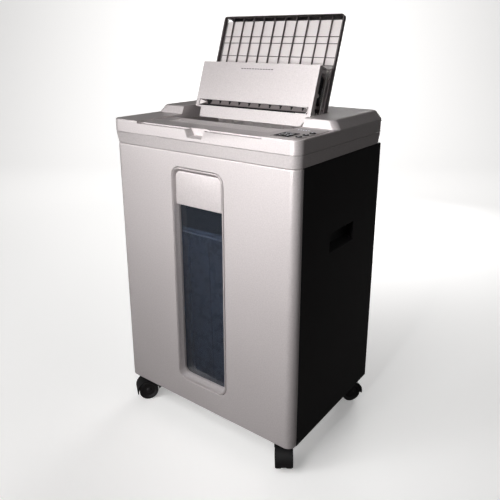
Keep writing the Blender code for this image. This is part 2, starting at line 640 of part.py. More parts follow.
# ---------------------------------------------------------------- deck
def deck_plan(half, z):
    outline = rounded((-half[0], half[0]), (-half[1], half[1]), (DECK_RADIUS,) * 4)
    return [(x, y, z) for x, y in outline]


def build_deck():
    rings = [deck_plan(half, z) for half, z in zip(COLLAR_HALF, COLLAR_Z)]
    collar = loft("deck_collar", rings, "silver_paint")
    inner_x, inner_y = COLLAR_INNER
    cut(collar, block("deck_collar_hollow", (-inner_x, inner_x), (-inner_y, inner_y),
                      (COLLAR_Z[0] - OVERRUN, COLLAR_Z[1] + OVERRUN)))

    deck = loft("deck_cover", [deck_plan(DECK_HALF, z) for z in DECK_Z], "silver_paint")

    def block_ring(size, z):
        half, front_y, back_y = size
        outline = rounded((-half, half), (front_y, back_y), (BLOCK_RADIUS,) * 4)
        return [(x, y, z) for x, y in outline]

    join(deck, loft("deck_block", [block_ring(BLOCK_FOOT, DECK_Z[1] - OVERRUN),
                                   block_ring(BLOCK_FOOT, DECK_Z[1]), block_ring(BLOCK_TOP, BLOCK_TOP_Z)]))
    top = BLOCK_TOP_Z + OVERRUN
    front = -DECK_HALF[1] - OVERRUN
    low = DECK_Z[0] - OVERRUN
    bay = (-BAY_HALF_W, BAY_HALF_W)
    steps = ((front, LEDGE_Z), (TRAY_FRAME_Y, LEDGE_Z), (TRAY_FRAME_Y, TRAY_FRAME_Z),
             (WELL_FRONT_Y, TRAY_FRAME_Z), (WELL_FRONT_Y, low), (BAY_BACK_Y, low), (BAY_BACK_Y, top),
             (front, top))
    cut(deck, prism("deck_lid_bay", steps, "X", bay))
    cut(deck, block("deck_tray_pocket", (-POCKET_HALF_W, POCKET_HALF_W),
                    (TRAY_POCKET_Y, WELL_FRONT_Y + OVERRUN), (TRAY_POCKET_Z, top)))
    half_x, half_y = CAVITY_HALF
    hollow = rounded((-half_x, half_x), (CAVITY_FRONT_Y, half_y), (0, 0, CAVITY_RADIUS, CAVITY_RADIUS))
    cut(deck, prism("deck_cavity", hollow, "Z", (low, CAVITY_Z)))
    for side, radii in ((-1, (CAVITY_RADIUS, 0, 0, 0)), (1, (0, CAVITY_RADIUS, 0, 0))):
        cheek = rounded(sided((CAVITY_CHEEK_X, half_x), side), (-half_y, CAVITY_FRONT_Y + OVERRUN), radii)
        cut(deck, prism("deck_front_cavity", cheek, "Z", (low, CAVITY_Z)))
    rear = (-BLOCK_CAVITY_X[1], BLOCK_CAVITY_X[1])
    high = (CAVITY_Z - OVERRUN, BLOCK_CAVITY_Z)
    cut(deck, block("deck_block_cavity", rear, (BLOCK_CAVITY_BACK_Y, BLOCK_CAVITY_Y[1]), high))
    towers = [(sided(BLOCK_CAVITY_X, side), (BLOCK_CAVITY_Y[0], BLOCK_CAVITY_BACK_Y + OVERRUN), high)
              for side in (-1, 1)]
    cut(deck, boxes("deck_pillar_cavities", towers))
    notch = ((-NOTCH_FOOT_HALF, NOTCH_Z[0]), (NOTCH_FOOT_HALF, NOTCH_Z[0]),
             (NOTCH_TOP_HALF, NOTCH_Z[1]), (-NOTCH_TOP_HALF, NOTCH_Z[1]))
    cut(deck, prism("deck_finger_notch", notch, "Y", NOTCH_Y))
    gap = PANEL_POCKET_GAP
    pocket = rounded((PANEL_X[0] - gap, PANEL_X[1] + gap), (PANEL_Y[0] - gap, PANEL_Y[1] + gap),
                     (PANEL_RADIUS,) * 4)
    cut(deck, prism("deck_panel_pocket", pocket, "Z", (PANEL_POCKET_Z, top)))

    plan = rounded(PANEL_X, PANEL_Y, (PANEL_RADIUS,) * 4)
    panel = prism("control_panel", plan, "Z", PANEL_Z, "grey_plastic")
    gap = DISPLAY_POCKET_GAP
    cut(panel, block("control_panel_pocket", (DISPLAY_X[0] - gap, DISPLAY_X[1] + gap),
                     (DISPLAY_Y[0] - gap, DISPLAY_Y[1] + gap), (DISPLAY_Z[0] - gap, top)))
    block("display", DISPLAY_X, DISPLAY_Y, DISPLAY_Z, "smoked_acrylic")
    for name, y in zip(BUTTON_NAMES, BUTTON_Y):
        hole = rod(name + "_hole", "Z", (CAVITY_Z - OVERRUN, top), (BUTTON_X, y), BUTTON_HOLE_RADIUS)
        cut(panel, hole)
        cut(deck, hole)
        rod(name, "Z", BUTTON_Z, (BUTTON_X, y), BUTTON_RADIUS, "black_plastic", (BUTTON_X, y, BUTTON_Z[1]))

    block("tray_panel", (-TRAY_PANEL_HALF_W, TRAY_PANEL_HALF_W), TRAY_PANEL_Y, TRAY_PANEL_Z, "pale_plastic")
    inside, outside = WELL_HALF_W
    well = block("feed_well", (-outside, outside), (WELL_Y[0] - WELL_WALL, WELL_Y[1] + WELL_WALL), WELL_Z,
                 "grey_plastic")
    cut(well, block("feed_well_hollow", (-inside, inside), WELL_Y, (WELL_FLOOR_Z, WELL_Z[1] + OVERRUN)))
    through = (WELL_Z[0] - OVERRUN, WELL_FLOOR_Z + OVERRUN)
    mouths = [((-WELL_THROAT_HALF_W, WELL_THROAT_HALF_W), WELL_THROAT_Y, through)]
    span = (ROLLER_Y - WELL_ROLLER_GAP, ROLLER_Y + WELL_ROLLER_GAP)
    mouths += [(sided(WELL_ROLLER_X, side), span, through) for side in (-1, 1)]
    cut(well, boxes("feed_well_mouths", mouths))
    for side, name in ((-1, "hinge_pin_left"), (1, "hinge_pin_right")):
        axis = (HINGE_Y, HINGE_Z)
        rod(name, "X", sided(PIN_X, side), axis, PIN_RADIUS, "zinc_steel")
        cut(deck, rod(name + "_deck_hole", "X", sided(PIN_HOLE_X, side), axis, PIN_HOLE_RADIUS))


# ---------------------------------------------------------------- lid
HINGE = Vector((0.0, HINGE_Y, HINGE_Z))


def closed(u, w):
    """A lid position as world (Y, Z) with the lid shut."""
    return (HINGE_Y - u, HINGE_Z + w)


def lid_spans(u, w):
    return (HINGE_Y - u[1], HINGE_Y - u[0]), (HINGE_Z + w[0], HINGE_Z + w[1])


def lid_block(name, x, u, w, finish=None):
    y, z = lid_spans(u, w)
    return block(name, x, y, z, finish, HINGE)


def lid_prism(name, outline, x, finish=None):
    return prism(name, [closed(u, w) for u, w in outline], "X", x, finish, HINGE)


def open_lid(pieces):
    """Swing pieces drawn shut up to the standing position about the hinge."""
    for piece in pieces:
        piece.rotation_euler = (-LID_OPEN, 0.0, 0.0)


def build_lid():
    before = set(bpy.data.objects)
    wide = (-LID_HALF_W, LID_HALF_W)
    y, z = lid_spans(COVER_U, COVER_W)
    prism("lid_cover", rounded(wide, y, (COVER_RADIUS, COVER_RADIUS, 0, 0)), "Z", z, "silver_paint", HINGE)
    y, z = lid_spans(FRAME_U, FRAME_W)
    frame = prism("lid_frame", rounded(wide, y, (COVER_RADIUS, COVER_RADIUS, 0, 0)), "Z", z,
                  "black_plastic", HINGE)
    through = (FRAME_W[0] - OVERRUN, FRAME_W[1] + OVERRUN)
    inside = (-FRAME_INNER_HALF_W, FRAME_INNER_HALF_W)
    cut(frame, lid_block("lid_frame_opening", inside, FRAME_INNER_U, through))
    pan = lid_block("lid_panel", (-PAN_HALF_W, PAN_HALF_W), PAN_U, PAN_W, "pale_plastic")
    inner = PAN_HALF_W - PAN_WALL
    cut(pan, lid_block("lid_panel_hollow", (-inner, inner), (PAN_U[0] + PAN_WALL, PAN_U[1] - PAN_WALL),
                       (PAN_W[0] - OVERRUN, PAN_FLOOR_W)))

    y, z = lid_spans(RIB_U, RIB_W)
    first = -RIB_PITCH * (RIB_COUNT - 1) / 2.0
    middles = [first + RIB_PITCH * i for i in range(RIB_COUNT)]
    grid = boxes("rib_grid", [((m - RIB_THICK / 2.0, m + RIB_THICK / 2.0), y, z) for m in middles],
                 "black_plastic", HINGE)
    bars = []
    for u in CROSS_U:
        y, z = lid_spans((u - CROSS_THICK / 2.0, u + CROSS_THICK / 2.0), CROSS_W)
        bars.append(((middles[0], middles[-1]), y, z))
    join(grid, boxes("rib_grid_bars", bars, origin=HINGE))

    housing = lid_prism("pressure_housing", HOUSING_OUTLINE, HOUSING_X, "pale_plastic")
    cut(housing, lid_block("pressure_housing_hollow", HOUSING_HOLLOW_X, HOUSING_HOLLOW_U, HOUSING_HOLLOW_W))
    lid_prism("plate_lever", LEVER_OUTLINE, LEVER_X, "black_plastic")

    outline = [(x, HINGE_Y - u) for x, u in PLATE_OUTLINE]
    level = (HINGE_Z + PLATE_W[0], HINGE_Z + PLATE_W[1])
    plate = prism("pressure_plate", outline, "Z", level, "silver_paint", HINGE)
    edge = PLATE_OUTLINE[0][1]
    y, z = lid_spans((edge - SKIRT_THICK, edge), SKIRT_W)
    left_y = lid_spans((PLATE_OUTLINE[2][1] + SKIRT_THICK * 2.0, edge), SKIRT_W)[0]
    skirts = [((-PLATE_HALF_W, PLATE_HALF_W), y, z)]
    join(plate, boxes("pressure_plate_top_skirt", skirts, origin=HINGE))
    left = [((-PLATE_HALF_W, SKIRT_THICK - PLATE_HALF_W), left_y, z)]
    join(plate, boxes("pressure_plate_left_skirt", left, origin=HINGE))
    low = lid_spans(COVER_U, RIGHT_SKIRT_W)[1]
    right = [((PLATE_HALF_W - SKIRT_THICK, PLATE_HALF_W), left_y, low)]
    join(plate, boxes("pressure_plate_right_skirt", right, origin=HINGE))
    cut(plate, lid_block("pressure_plate_slot", (-SLOT_HALF_W, SLOT_HALF_W), SLOT_U,
                         (PLATE_W[0] - OVERRUN, PLATE_W[1] + OVERRUN)))
    comb = lid_block("comb_bar", (-COMB_HALF_W, COMB_HALF_W), COMB_U, COMB_W, "grey_plastic")
    y, z = lid_spans(COMB_NOTCH_U, (COMB_W[0] - OVERRUN, COMB_W[1] + OVERRUN))
    starts = [COMB_NOTCH_START + COMB_NOTCH_PITCH * (i + 1) for i in range(COMB_NOTCH_COUNT - 1)]
    cut(comb, boxes("comb_bar_notches", [((x, x + COMB_NOTCH_W), y, z) for x in starts], origin=HINGE))
    for side, name in ((-1, "left"), (1, "right")):
        tool = rod("lid_frame_pin_hole_" + name, "X", sided(PIN_HOLE_X, side), (HINGE_Y, HINGE_Z),
                   PIN_HOLE_RADIUS, origin=HINGE)
        cut(frame, tool)
    open_lid([obj for obj in bpy.data.objects if obj not in before])


# ---------------------------------------------------------------- castors
def build_castor(place, pivot, yaw):
    """One castor, drawn with its swivel axis at zero and its wheel trailing along +X."""
    swivel = (pivot[0], pivot[1], 0.0)
    turned("castor_plate_" + place, CASTOR_PLATE, swivel, UPRIGHT, "zinc_steel", ROUND_SEGMENTS)

    arc = [(CASTOR_TRAIL + HOOD_RADIUS * math.cos(a), WHEEL_RADIUS + HOOD_RADIUS * math.sin(a))
           for a in (HOOD_ARC[0] + (HOOD_ARC[1] - HOOD_ARC[0]) * i / HOOD_ARC_STEPS
                     for i in range(HOOD_ARC_STEPS + 1))]
    outline = [(HOOD_TOE_X, HOOD_Z[0])] + arc
    outline += [(HOOD_HUB_REACH, HOOD_Z[1]), (-HOOD_HUB_REACH, HOOD_Z[1]), (-HOOD_HUB_REACH, HOOD_HUB_Z)]
    name = "castor_hood_" + place
    hood = prism(name, outline, "Y", (-HOOD_HALF_W, HOOD_HALF_W), "black_plastic")
    wheel_axis = (CASTOR_TRAIL, WHEEL_RADIUS)
    reach = HOOD_HALF_W + OVERRUN
    tools = [rod(name + "_stem_hole", "Z", (HOOD_HUB_Z, HOOD_Z[1] + OVERRUN), (0.0, 0.0), HOOD_STEM_RADIUS),
             rod(name + "_axle_hole", "Y", (-reach, reach), wheel_axis, HOOD_AXLE_RADIUS)]
    for side, side_name in ((-1, "left"), (1, "right")):
        tools.append(rod(name + "_pocket_" + side_name, "Y", sided((HOOD_WEB, reach), side), wheel_axis,
                         HOOD_POCKET_RADIUS))
    for tool in tools:
        cut(hood, tool)
    for obj in [hood] + tools:
        obj.location = swivel
        obj.rotation_euler = (0.0, 0.0, yaw)

    rim = WHEEL_RADIUS - WHEEL_EDGE
    top = [(0.0, WHEEL_OUTER), (rim, WHEEL_OUTER), (WHEEL_RADIUS, WHEEL_OUTER - WHEEL_EDGE),
           (WHEEL_RADIUS, WHEEL_INNER), (WHEEL_BORE, WHEEL_INNER)]
    foot = [(radius, -height) for radius, height in reversed(top)]
    centre = Matrix.Rotation(yaw, 3, "Z") @ Vector((CASTOR_TRAIL, 0.0, WHEEL_RADIUS)) + Vector(swivel)
    turned("castor_wheel_" + place, top + foot, centre, (math.radians(-90.0), 0.0, yaw), "rubber",
           ROUND_SEGMENTS)


def build_castors():
    for place, (sx, sy) in CASTOR_SIGNS.items():
        build_castor(place, (sx * CASTOR_XY[0], sy * CASTOR_XY[1]), CASTOR_YAW[place])


build_cabinet()
build_drawer()
build_head()
build_deck()
build_lid()
build_castors()
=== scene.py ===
"""Looks of an auto-feed paper shredder: fine meshes, finishes, studio light and camera.

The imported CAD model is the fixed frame. Every piece here is built in metres in the frame's own
axes: +Z up, the front facing -Y, the floor at zero.
"""

from __future__ import annotations

import logging
import math
from dataclasses import dataclass
from enum import Enum
from typing import Iterable, Sequence

import bmesh
import bpy
from mathutils import Matrix, Vector


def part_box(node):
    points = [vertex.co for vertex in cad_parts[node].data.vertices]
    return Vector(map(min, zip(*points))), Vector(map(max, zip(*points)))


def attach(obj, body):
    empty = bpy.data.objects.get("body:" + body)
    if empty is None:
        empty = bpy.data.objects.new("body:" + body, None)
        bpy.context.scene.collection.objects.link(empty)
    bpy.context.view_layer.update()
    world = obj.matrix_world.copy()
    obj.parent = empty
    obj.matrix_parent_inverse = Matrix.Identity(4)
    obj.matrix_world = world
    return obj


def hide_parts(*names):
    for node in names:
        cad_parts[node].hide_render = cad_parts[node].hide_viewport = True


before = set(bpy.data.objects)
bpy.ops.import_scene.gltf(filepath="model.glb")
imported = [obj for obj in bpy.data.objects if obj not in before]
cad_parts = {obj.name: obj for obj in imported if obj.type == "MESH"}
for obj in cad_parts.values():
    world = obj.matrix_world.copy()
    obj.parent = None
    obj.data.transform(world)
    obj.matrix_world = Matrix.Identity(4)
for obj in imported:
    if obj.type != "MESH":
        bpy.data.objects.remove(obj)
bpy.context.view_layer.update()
LOG = logging.getLogger("shredder")
Span = tuple[float, float]
Point2 = tuple[float, float]
Triple = tuple[float, float, float]
Outline = list[Point2]
BMesh = bmesh.types.BMesh
Obj = bpy.types.Object
Node = bpy.types.Node
Socket = bpy.types.NodeSocket
Tree = bpy.types.NodeTree
MM = 0.001
FINER = 0.55  # weight of each finer octave of a grain


class Body(Enum):
    """Rigid bodies of the frame that pieces ride on."""

    CABINET = "cabinet"
    DRAWER = "drawer"
    LID = "lid"
    PLATE = "plate"
    POWER_BUTTON = "power_button"
    REVERSE_BUTTON = "reverse_button"
    FORWARD_BUTTON = "forward_button"
    ROCKER = "rocker"
    FRONT_CUTTER = "front_cutter"
    BACK_CUTTER = "back_cutter"
    FEEDER = "feeder"


class Slot(Enum):
    """Names of the material slots."""

    SILVER = "silver_paint"
    PALE = "pale_plastic"
    LAMINATE = "black_laminate"
    BLACK = "black_plastic"
    GREY = "grey_plastic"
    ACRYLIC = "smoked_acrylic"
    CUT_STEEL = "cut_steel"
    ZINC = "zinc_steel"
    BOARD = "circuit_board"
    RUBBER = "rubber"


# ---------------------------------------------------------------- finishes
def linear(code: str) -> tuple[float, ...]:
    """Turn an sRGB hex colour into linear light.

    Args:
        code: Six hex digits, such as "c8c2c2".

    Returns:
        Linear red, green, blue and an alpha of one.
    """
    parts = [int(code[i:i + 2], 16) / 255.0 for i in (0, 2, 4)]
    return (*[p / 12.92 if p <= 0.04045 else ((p + 0.055) / 1.055) ** 2.4 for p in parts], 1.0)


def add_node(tree: Tree, kind: str, inputs: dict[str | int, object] | None = None,
             **settings: object) -> Node:
    """Add a node with its settings, input values and links.

    Args:
        tree: Tree that gets the node.
        kind: Node type name.
        inputs: Values, or output sockets to link from, by input name or index.
        **settings: Attributes of the node.

    Returns:
        The new node.
    """
    node = tree.nodes.new(kind)
    for key, value in settings.items():
        setattr(node, key, value)
    for key, value in (inputs or {}).items():
        if isinstance(value, Socket):
            tree.links.new(value, node.inputs[key])
        else:
            node.inputs[key].default_value = value
    return node


@dataclass(frozen=True)
class Finish:
    """A plain finish, with the values that every other finish starts from."""

    name: str
    colour: str
    roughness: float
    metallic: float = 0.0
    ior: float = 1.5
    coat: float = 0.0
    specular: float = 0.5

    def material(self) -> bpy.types.Material:
        """Build the finish's material on first use.

        Returns:
            The material.
        """
        found = bpy.data.materials.get(self.name)
        if found:
            return found
        material = bpy.data.materials.new(self.name)
        material.use_nodes = True
        shader = material.node_tree.nodes["Principled BSDF"]
        shader.inputs["Base Color"].default_value = linear(self.colour)
        shader.inputs["Roughness"].default_value = self.roughness
        shader.inputs["Metallic"].default_value = self.metallic
        shader.inputs["IOR"].default_value = self.ior
        shader.inputs["Coat Weight"].default_value = self.coat
        shader.inputs["Specular IOR Level"].default_value = self.specular
        self.pattern(material.node_tree, shader)
        return material

    def pattern(self, tree: Tree, shader: Node) -> None:
        """Add what varies over the surface; a plain finish has nothing."""

    def noise(self, tree: Tree, size_mm: float, detail: float,
              stretch: Triple = (1.0, 1.0, 1.0)) -> Socket:
        """Add noise on the piece's own coordinates.

        Args:
            tree: Material tree.
            size_mm: Size of one grain in millimetres.
            detail: Octaves of finer noise.
            stretch: Scale on each axis, below one for grain drawn out along it.

        Returns:
            The noise value.
        """
        place = add_node(tree, "ShaderNodeTexCoord")
        mapped = add_node(tree, "ShaderNodeMapping", {"Vector": place.outputs["Object"],
                                                      "Scale": stretch})
        grain = add_node(tree, "ShaderNodeTexNoise",
                         {"Vector": mapped.outputs[0], "Scale": 1.0 / (size_mm * MM),
                          "Detail": detail, "Roughness": FINER})
        return grain.outputs["Fac"]


@dataclass(frozen=True)
class GrainFinish(Finish):
    """A surface with a fine grain: moulded plastic, lacquer, rubber."""

    shade: str = "808080"
    grain_mm: float = 2.0
    height_mm: float = 0.02
    rough_spread: float = 0.06
    cloud_mm: float = 160.0
    cloud: float = 0.35
    contrast: Span = (0.3, 0.7)

    def pattern(self, tree: Tree, shader: Node) -> None:
        """Mix two close colours by a fine grain and a wide cloud, and give the grain its relief.

        Args:
            tree: Material tree.
            shader: Its shader.
        """
        fine = self.noise(tree, self.grain_mm, 3.0)
        wide = self.noise(tree, self.cloud_mm, 1.0)
        blend = add_node(tree, "ShaderNodeMix", {"Factor": self.cloud, 2: fine, 3: wide},
                         data_type="FLOAT")
        spread = add_node(tree, "ShaderNodeMapRange",
                          {"Value": blend.outputs[0], "From Min": self.contrast[0],
                           "From Max": self.contrast[1]})
        tint = add_node(tree, "ShaderNodeMix", {"Factor": spread.outputs[0], 6: linear(self.shade),
                                                 7: linear(self.colour)}, data_type="RGBA")
        tree.links.new(tint.outputs[2], shader.inputs["Base Color"])
        rough = add_node(tree, "ShaderNodeMapRange",
                         {"Value": fine, "To Min": self.roughness - self.rough_spread,
                          "To Max": self.roughness + self.rough_spread})
        tree.links.new(rough.outputs[0], shader.inputs["Roughness"])
        bump = add_node(tree, "ShaderNodeBump", {"Height": fine, "Distance": self.height_mm * MM})
        tree.links.new(bump.outputs[0], shader.inputs["Normal"])


@dataclass(frozen=True)
class PaperFinish(Finish):
    """Studio paper that looks pale to the camera and throws little light back onto the object."""

    thrown: str = "6a6867"
    lift: float = 0.30

    def pattern(self, tree: Tree, shader: Node) -> None:
        """Show the pale colour to the camera only, lifted a little, and throw the duller one.

        Args:
            tree: Material tree.
            shader: Its shader.
        """
        path = add_node(tree, "ShaderNodeLightPath")
        shade = add_node(tree, "ShaderNodeMix", {"Factor": path.outputs["Is Camera Ray"],
                                                 6: linear(self.thrown), 7: linear(self.colour)},
                         data_type="RGBA")
        tree.links.new(shade.outputs[2], shader.inputs["Base Color"])
        shader.inputs["Emission Color"].default_value = linear(self.colour)
        glow = add_node(tree, "ShaderNodeMapRange", {"Value": path.outputs["Is Camera Ray"],
                                                     "To Max": self.lift})
        tree.links.new(glow.outputs[0], shader.inputs["Emission Strength"])


@dataclass(frozen=True)
class DrawnFinish(Finish):
    """Metal with grinding or rolling lines that run along one axis."""

    shade: str = "808080"
    line_mm: float = 1.2
    along: Triple = (0.03, 1.0, 1.0)
    height_mm: float = 0.01
    smoother: float = 0.08
    rougher: float = 0.12

    def pattern(self, tree: Tree, shader: Node) -> None:
        """Draw the noise out into lines that tint and roughen the metal.

        Args:
            tree: Material tree.
            shader: Its shader.
        """
        lines = self.noise(tree, self.line_mm, 4.0, self.along)
        tint = add_node(tree, "ShaderNodeMix", {"Factor": lines, 6: linear(self.shade),
                                                7: linear(self.colour)}, data_type="RGBA")
        tree.links.new(tint.outputs[2], shader.inputs["Base Color"])
        rough = add_node(tree, "ShaderNodeMapRange",
                         {"Value": lines, "To Min": self.roughness - self.smoother,
                          "To Max": self.roughness + self.rougher})
        tree.links.new(rough.outputs[0], shader.inputs["Roughness"])
        bump = add_node(tree, "ShaderNodeBump", {"Height": lines, "Distance": self.height_mm * MM})
        tree.links.new(bump.outputs[0], shader.inputs["Normal"])


@dataclass(frozen=True)
class ClearFinish(Finish):
    """Tinted sheet that shows what stands behind it."""

    transmission: float = 0.95
    haze_mm: float = 90.0
    wiped: Span = (0.6, 1.6)

    def pattern(self, tree: Tree, shader: Node) -> None:
        """Let light through, and vary the polish a little as wiping does.

        Args:
            tree: Material tree.
            shader: Its shader.
        """
        shader.inputs["Transmission Weight"].default_value = self.transmission
        haze = self.noise(tree, self.haze_mm, 2.0)
        rough = add_node(tree, "ShaderNodeMapRange",
                         {"Value": haze, "To Min": self.roughness * self.wiped[0],
                          "To Max": self.roughness * self.wiped[1]})
        tree.links.new(rough.outputs[0], shader.inputs["Roughness"])


@dataclass(frozen=True)
class GlowFinish(Finish):
    """A lit mark, as on a display or a lamp."""

    glow: float = 1.0
    grain_mm: float = 3.0
    rougher: float = 0.1

    def pattern(self, tree: Tree, shader: Node) -> None:
        """Add an even glow in the mark's own colour.

        Args:
            tree: Material tree.
            shader: Its shader.
        """
        shader.inputs["Emission Color"].default_value = linear(self.colour)
        shader.inputs["Emission Strength"].default_value = self.glow
        tone = self.noise(tree, self.grain_mm, 1.0)
        rough = add_node(tree, "ShaderNodeMapRange", {"Value": tone, "To Min": self.roughness,
                                                       "To Max": self.roughness + self.rougher})
        tree.links.new(rough.outputs[0], shader.inputs["Roughness"])


# Sprayed metallic lacquer on moulded ABS: aluminium flake gives a cool sparkle and a soft gloss.
# The flake is under 0.1 mm, so it is drawn as a 2.2 mm mottle to show.
SILVER = GrainFinish("metallic lacquer on ABS", "cdc6c6", 0.38, 0.35, 1.5, 0.15, shade="b8b1b1",
                     grain_mm=2.2, height_mm=0.006, rough_spread=0.05, cloud_mm=220.0)
# Moulded ABS in warm pale grey with spark-eroded texture, drawn at 1.5 mm to show.
PALE = GrainFinish("moulded pale ABS", "d8d1d0", 0.48, shade="cbc4c3", grain_mm=1.5, height_mm=0.02)
# White acetal sliding parts: waxy, a little translucent to the eye.
ACETAL = GrainFinish("moulded white acetal", "eeebe8", 0.40, ior=1.48, shade="e2dedb", grain_mm=2.5,
                     height_mm=0.01)
# Particle board faced with black melamine: even, with the press plate's pebble.
LAMINATE = GrainFinish("black melamine laminate", "141214", 0.45, specular=0.25, shade="0c0a0c",
                       grain_mm=2.2, height_mm=0.03, rough_spread=0.08)
# Moulded black ABS with a leather-like eroded texture.
BLACK = GrainFinish("moulded black ABS", "1b1a1b", 0.50, specular=0.35, shade="131213",
                    grain_mm=1.4, height_mm=0.03)
# Matt black used as painted shade: it swallows light, so the comb's slot and the gaps round it read
# dark.
GAP_SHADE = GrainFinish("matt black painted gap shade", "0a090a", 0.65, specular=0.15, shade="060506",
                    grain_mm=1.5, height_mm=0.02)
# Moulded charcoal ABS: one step paler than the black parts, so that a sill still reads.
CHARCOAL = GrainFinish("moulded charcoal ABS", "332f31", 0.46, specular=0.35, shade="292628",
                       grain_mm=1.6, height_mm=0.02)
# Moulded taupe ABS: a warm, satin mid tone for the lid's rim and paper ribs.
TAUPE = GrainFinish("moulded taupe ABS", "5f5757", 0.46, specular=0.35, shade="554e4e",
                    grain_mm=1.6, height_mm=0.02)
# Moulded mid-grey ABS: satin, with a quiet texture.
GREY = GrainFinish("moulded grey ABS", "8d8685", 0.44, shade="807978", grain_mm=1.5, height_mm=0.02)
# Printed polycarbonate film round the keys: even, with a thin clear gloss.
PANEL_GREY = GrainFinish("printed grey polycarbonate", "9b9493", 0.36, coat=0.2, shade="918a89",
                         grain_mm=1.2, height_mm=0.01)
# Polypropylene of the bin: waxy sheen with flow marks. Its blue-grey is mixed paler than the bin's
# own dark tone, as painted light that makes up for the light the smoked pane holds back.
BIN_PP_PAINTED_LIGHT = GrainFinish("moulded blue-grey polypropylene", "767f8b", 0.28, shade="6c7581",
                     grain_mm=14.0, height_mm=0.05, cloud_mm=90.0)
# Cast acrylic with a smoke tint, polished.
SMOKED = ClearFinish("smoked cast acrylic", "8d97a8", 0.06, ior=1.49)
# Polished black acrylic lens over the display.
LENS = GrainFinish("polished black acrylic", "0b0b0d", 0.40, ior=1.3, specular=0.04, shade="08080a",
                   grain_mm=40.0, height_mm=0.002, rough_spread=0.03)
# Ground tool steel: fine lines round the cutting discs.
TOOL_STEEL = DrawnFinish("ground tool steel", "b4b2b0", 0.30, 1.0, shade="8f8d8b", line_mm=1.0)
# Rolled steel sheet with bright zinc plate: faint rolling lines and a bluish cast.
ZINC = DrawnFinish("zinc-plated steel sheet", "c3c5c8", 0.34, 1.0, shade="a9abaf", line_mm=2.0,
                   along=(1.0, 0.05, 1.0))
# Polished chrome of small caps and pins: sharp, near-white gloss.
CHROME = DrawnFinish("polished chromed steel", "dcdcdd", 0.12, 1.0, shade="cfcfd0", line_mm=3.0,
                     height_mm=0.002)
# Vulcanised rubber of the feed tyres: dull, soaks up light.
RUBBER = GrainFinish("vulcanised black rubber", "1c1c1c", 0.78, shade="151515", grain_mm=1.0,
                     height_mm=0.05)
# Moulded nylon of castor wheels: dark, scuffed on the tread.
NYLON = GrainFinish("moulded black nylon", "222021", 0.55, shade="2e2b2c", grain_mm=3.0,
                    height_mm=0.03)
# Glass-fibre circuit board under solder mask: even green with a satin gloss.
BOARD = GrainFinish("solder-masked glass fibre board", "1d5a35", 0.35, shade="174c2c", grain_mm=2.0,
                    height_mm=0.01)
# Screen-printed pale ink: flat, with a faint even glow as if lit from behind.
INK = GlowFinish("screen-printed pale ink", "d9dadd", 0.45, glow=0.05)
# Moulded lens over a lamp: cool white and brighter than the ink.
LAMP = GlowFinish("lit signal lens", "e8f2ff", 0.30, glow=0.6)

# Matt white paper of the studio floor: even and without gloss.
FLOOR = PaperFinish("matt white studio paper", "f6f5f4", 0.9)


# ---------------------------------------------------------------- mesh tools
SHARP = math.radians(38.0)
LEAST_RADIUS = 0.00002
MERGE = 0.000005
MERGE_CAD = 0.00002
FLAT = 0.0005
FLAT_CAD = 0.005
ALONG_X = Matrix.Rotation(math.radians(90.0), 4, "Y")


def mid(span: Span) -> float:
    """Return the middle of a span."""
    return sum(span) / 2.0


def around(middle: float, half: float) -> Span:
    """Return the span of a half width round a middle."""
    return (middle - half, middle + half)


def outline(across: Span, up: Span, radii: Sequence[float], steps: int = 10) -> Outline:
    """Draw a rectangle with its corners rounded.

    Args:
        across: Low and high value on the first axis.
        up: Low and high value on the second axis.
        radii: Corner radii, anticlockwise from the low corner.
        steps: Segments in a corner.

    Returns:
        Points anticlockwise, the same number for each corner.
    """
    corners = ((across[0], up[0], 180.0), (across[1], up[0], 270.0), (across[1], up[1], 0.0),
               (across[0], up[1], 90.0))
    signs = ((1, 1), (-1, 1), (-1, -1), (1, -1))
    points = []
    for (a, b, start), (sa, sb), radius in zip(corners, signs, radii):
        radius = max(radius, LEAST_RADIUS)
        for step in range(steps + 1):
            angle = math.radians(start + 90.0 * step / steps)
            points.append((a + sa * radius + radius * math.cos(angle),
                           b + sb * radius + radius * math.sin(angle)))
    return points


def inset_outline(across: Span, up: Span, radii: Sequence[float], inset: float,
                  steps: int = 10) -> Outline:
    """Draw a rounded rectangle moved in by an even distance."""
    return outline((across[0] + inset, across[1] - inset), (up[0] + inset, up[1] - inset),
                   [radius - inset for radius in radii], steps)


def circle(centre: Point2, radius: float, count: int = 48) -> Outline:
    """Draw a circle of evenly spaced points."""
    turns = [2.0 * math.pi * i / count for i in range(count)]
    return [(centre[0] + radius * math.cos(t), centre[1] + radius * math.sin(t)) for t in turns]


def toothed(teeth: int, tooth: Sequence[Point2], shift: float = 0.0) -> Outline:
    """Draw a toothed wheel from one tooth.

    Args:
        teeth: Number of teeth.
        tooth: Radius and angle of each point of a tooth.
        shift: Turn of the wheel, in teeth.

    Returns:
        The wheel's outline.
    """
    points = []
    for number in range(teeth):
        middle = 2.0 * math.pi * (number + shift) / teeth
        points += [(radius * math.cos(middle + part), radius * math.sin(middle + part))
                   for radius, part in tooth]
    return points


def on_axis(axis: str, along: float, points: Outline) -> list[Vector]:
    """Stand outline points in space.

    Args:
        axis: Axis that the outline faces: "X", "Y" or "Z".
        along: Place on that axis.
        points: Points on the two other axes, in X, Y, Z order.

    Returns:
        The points in space.
    """
    if axis == "X":
        return [Vector((along, a, b)) for a, b in points]
    if axis == "Y":
        return [Vector((a, along, b)) for a, b in points]
    return [Vector((a, b, along)) for a, b in points]


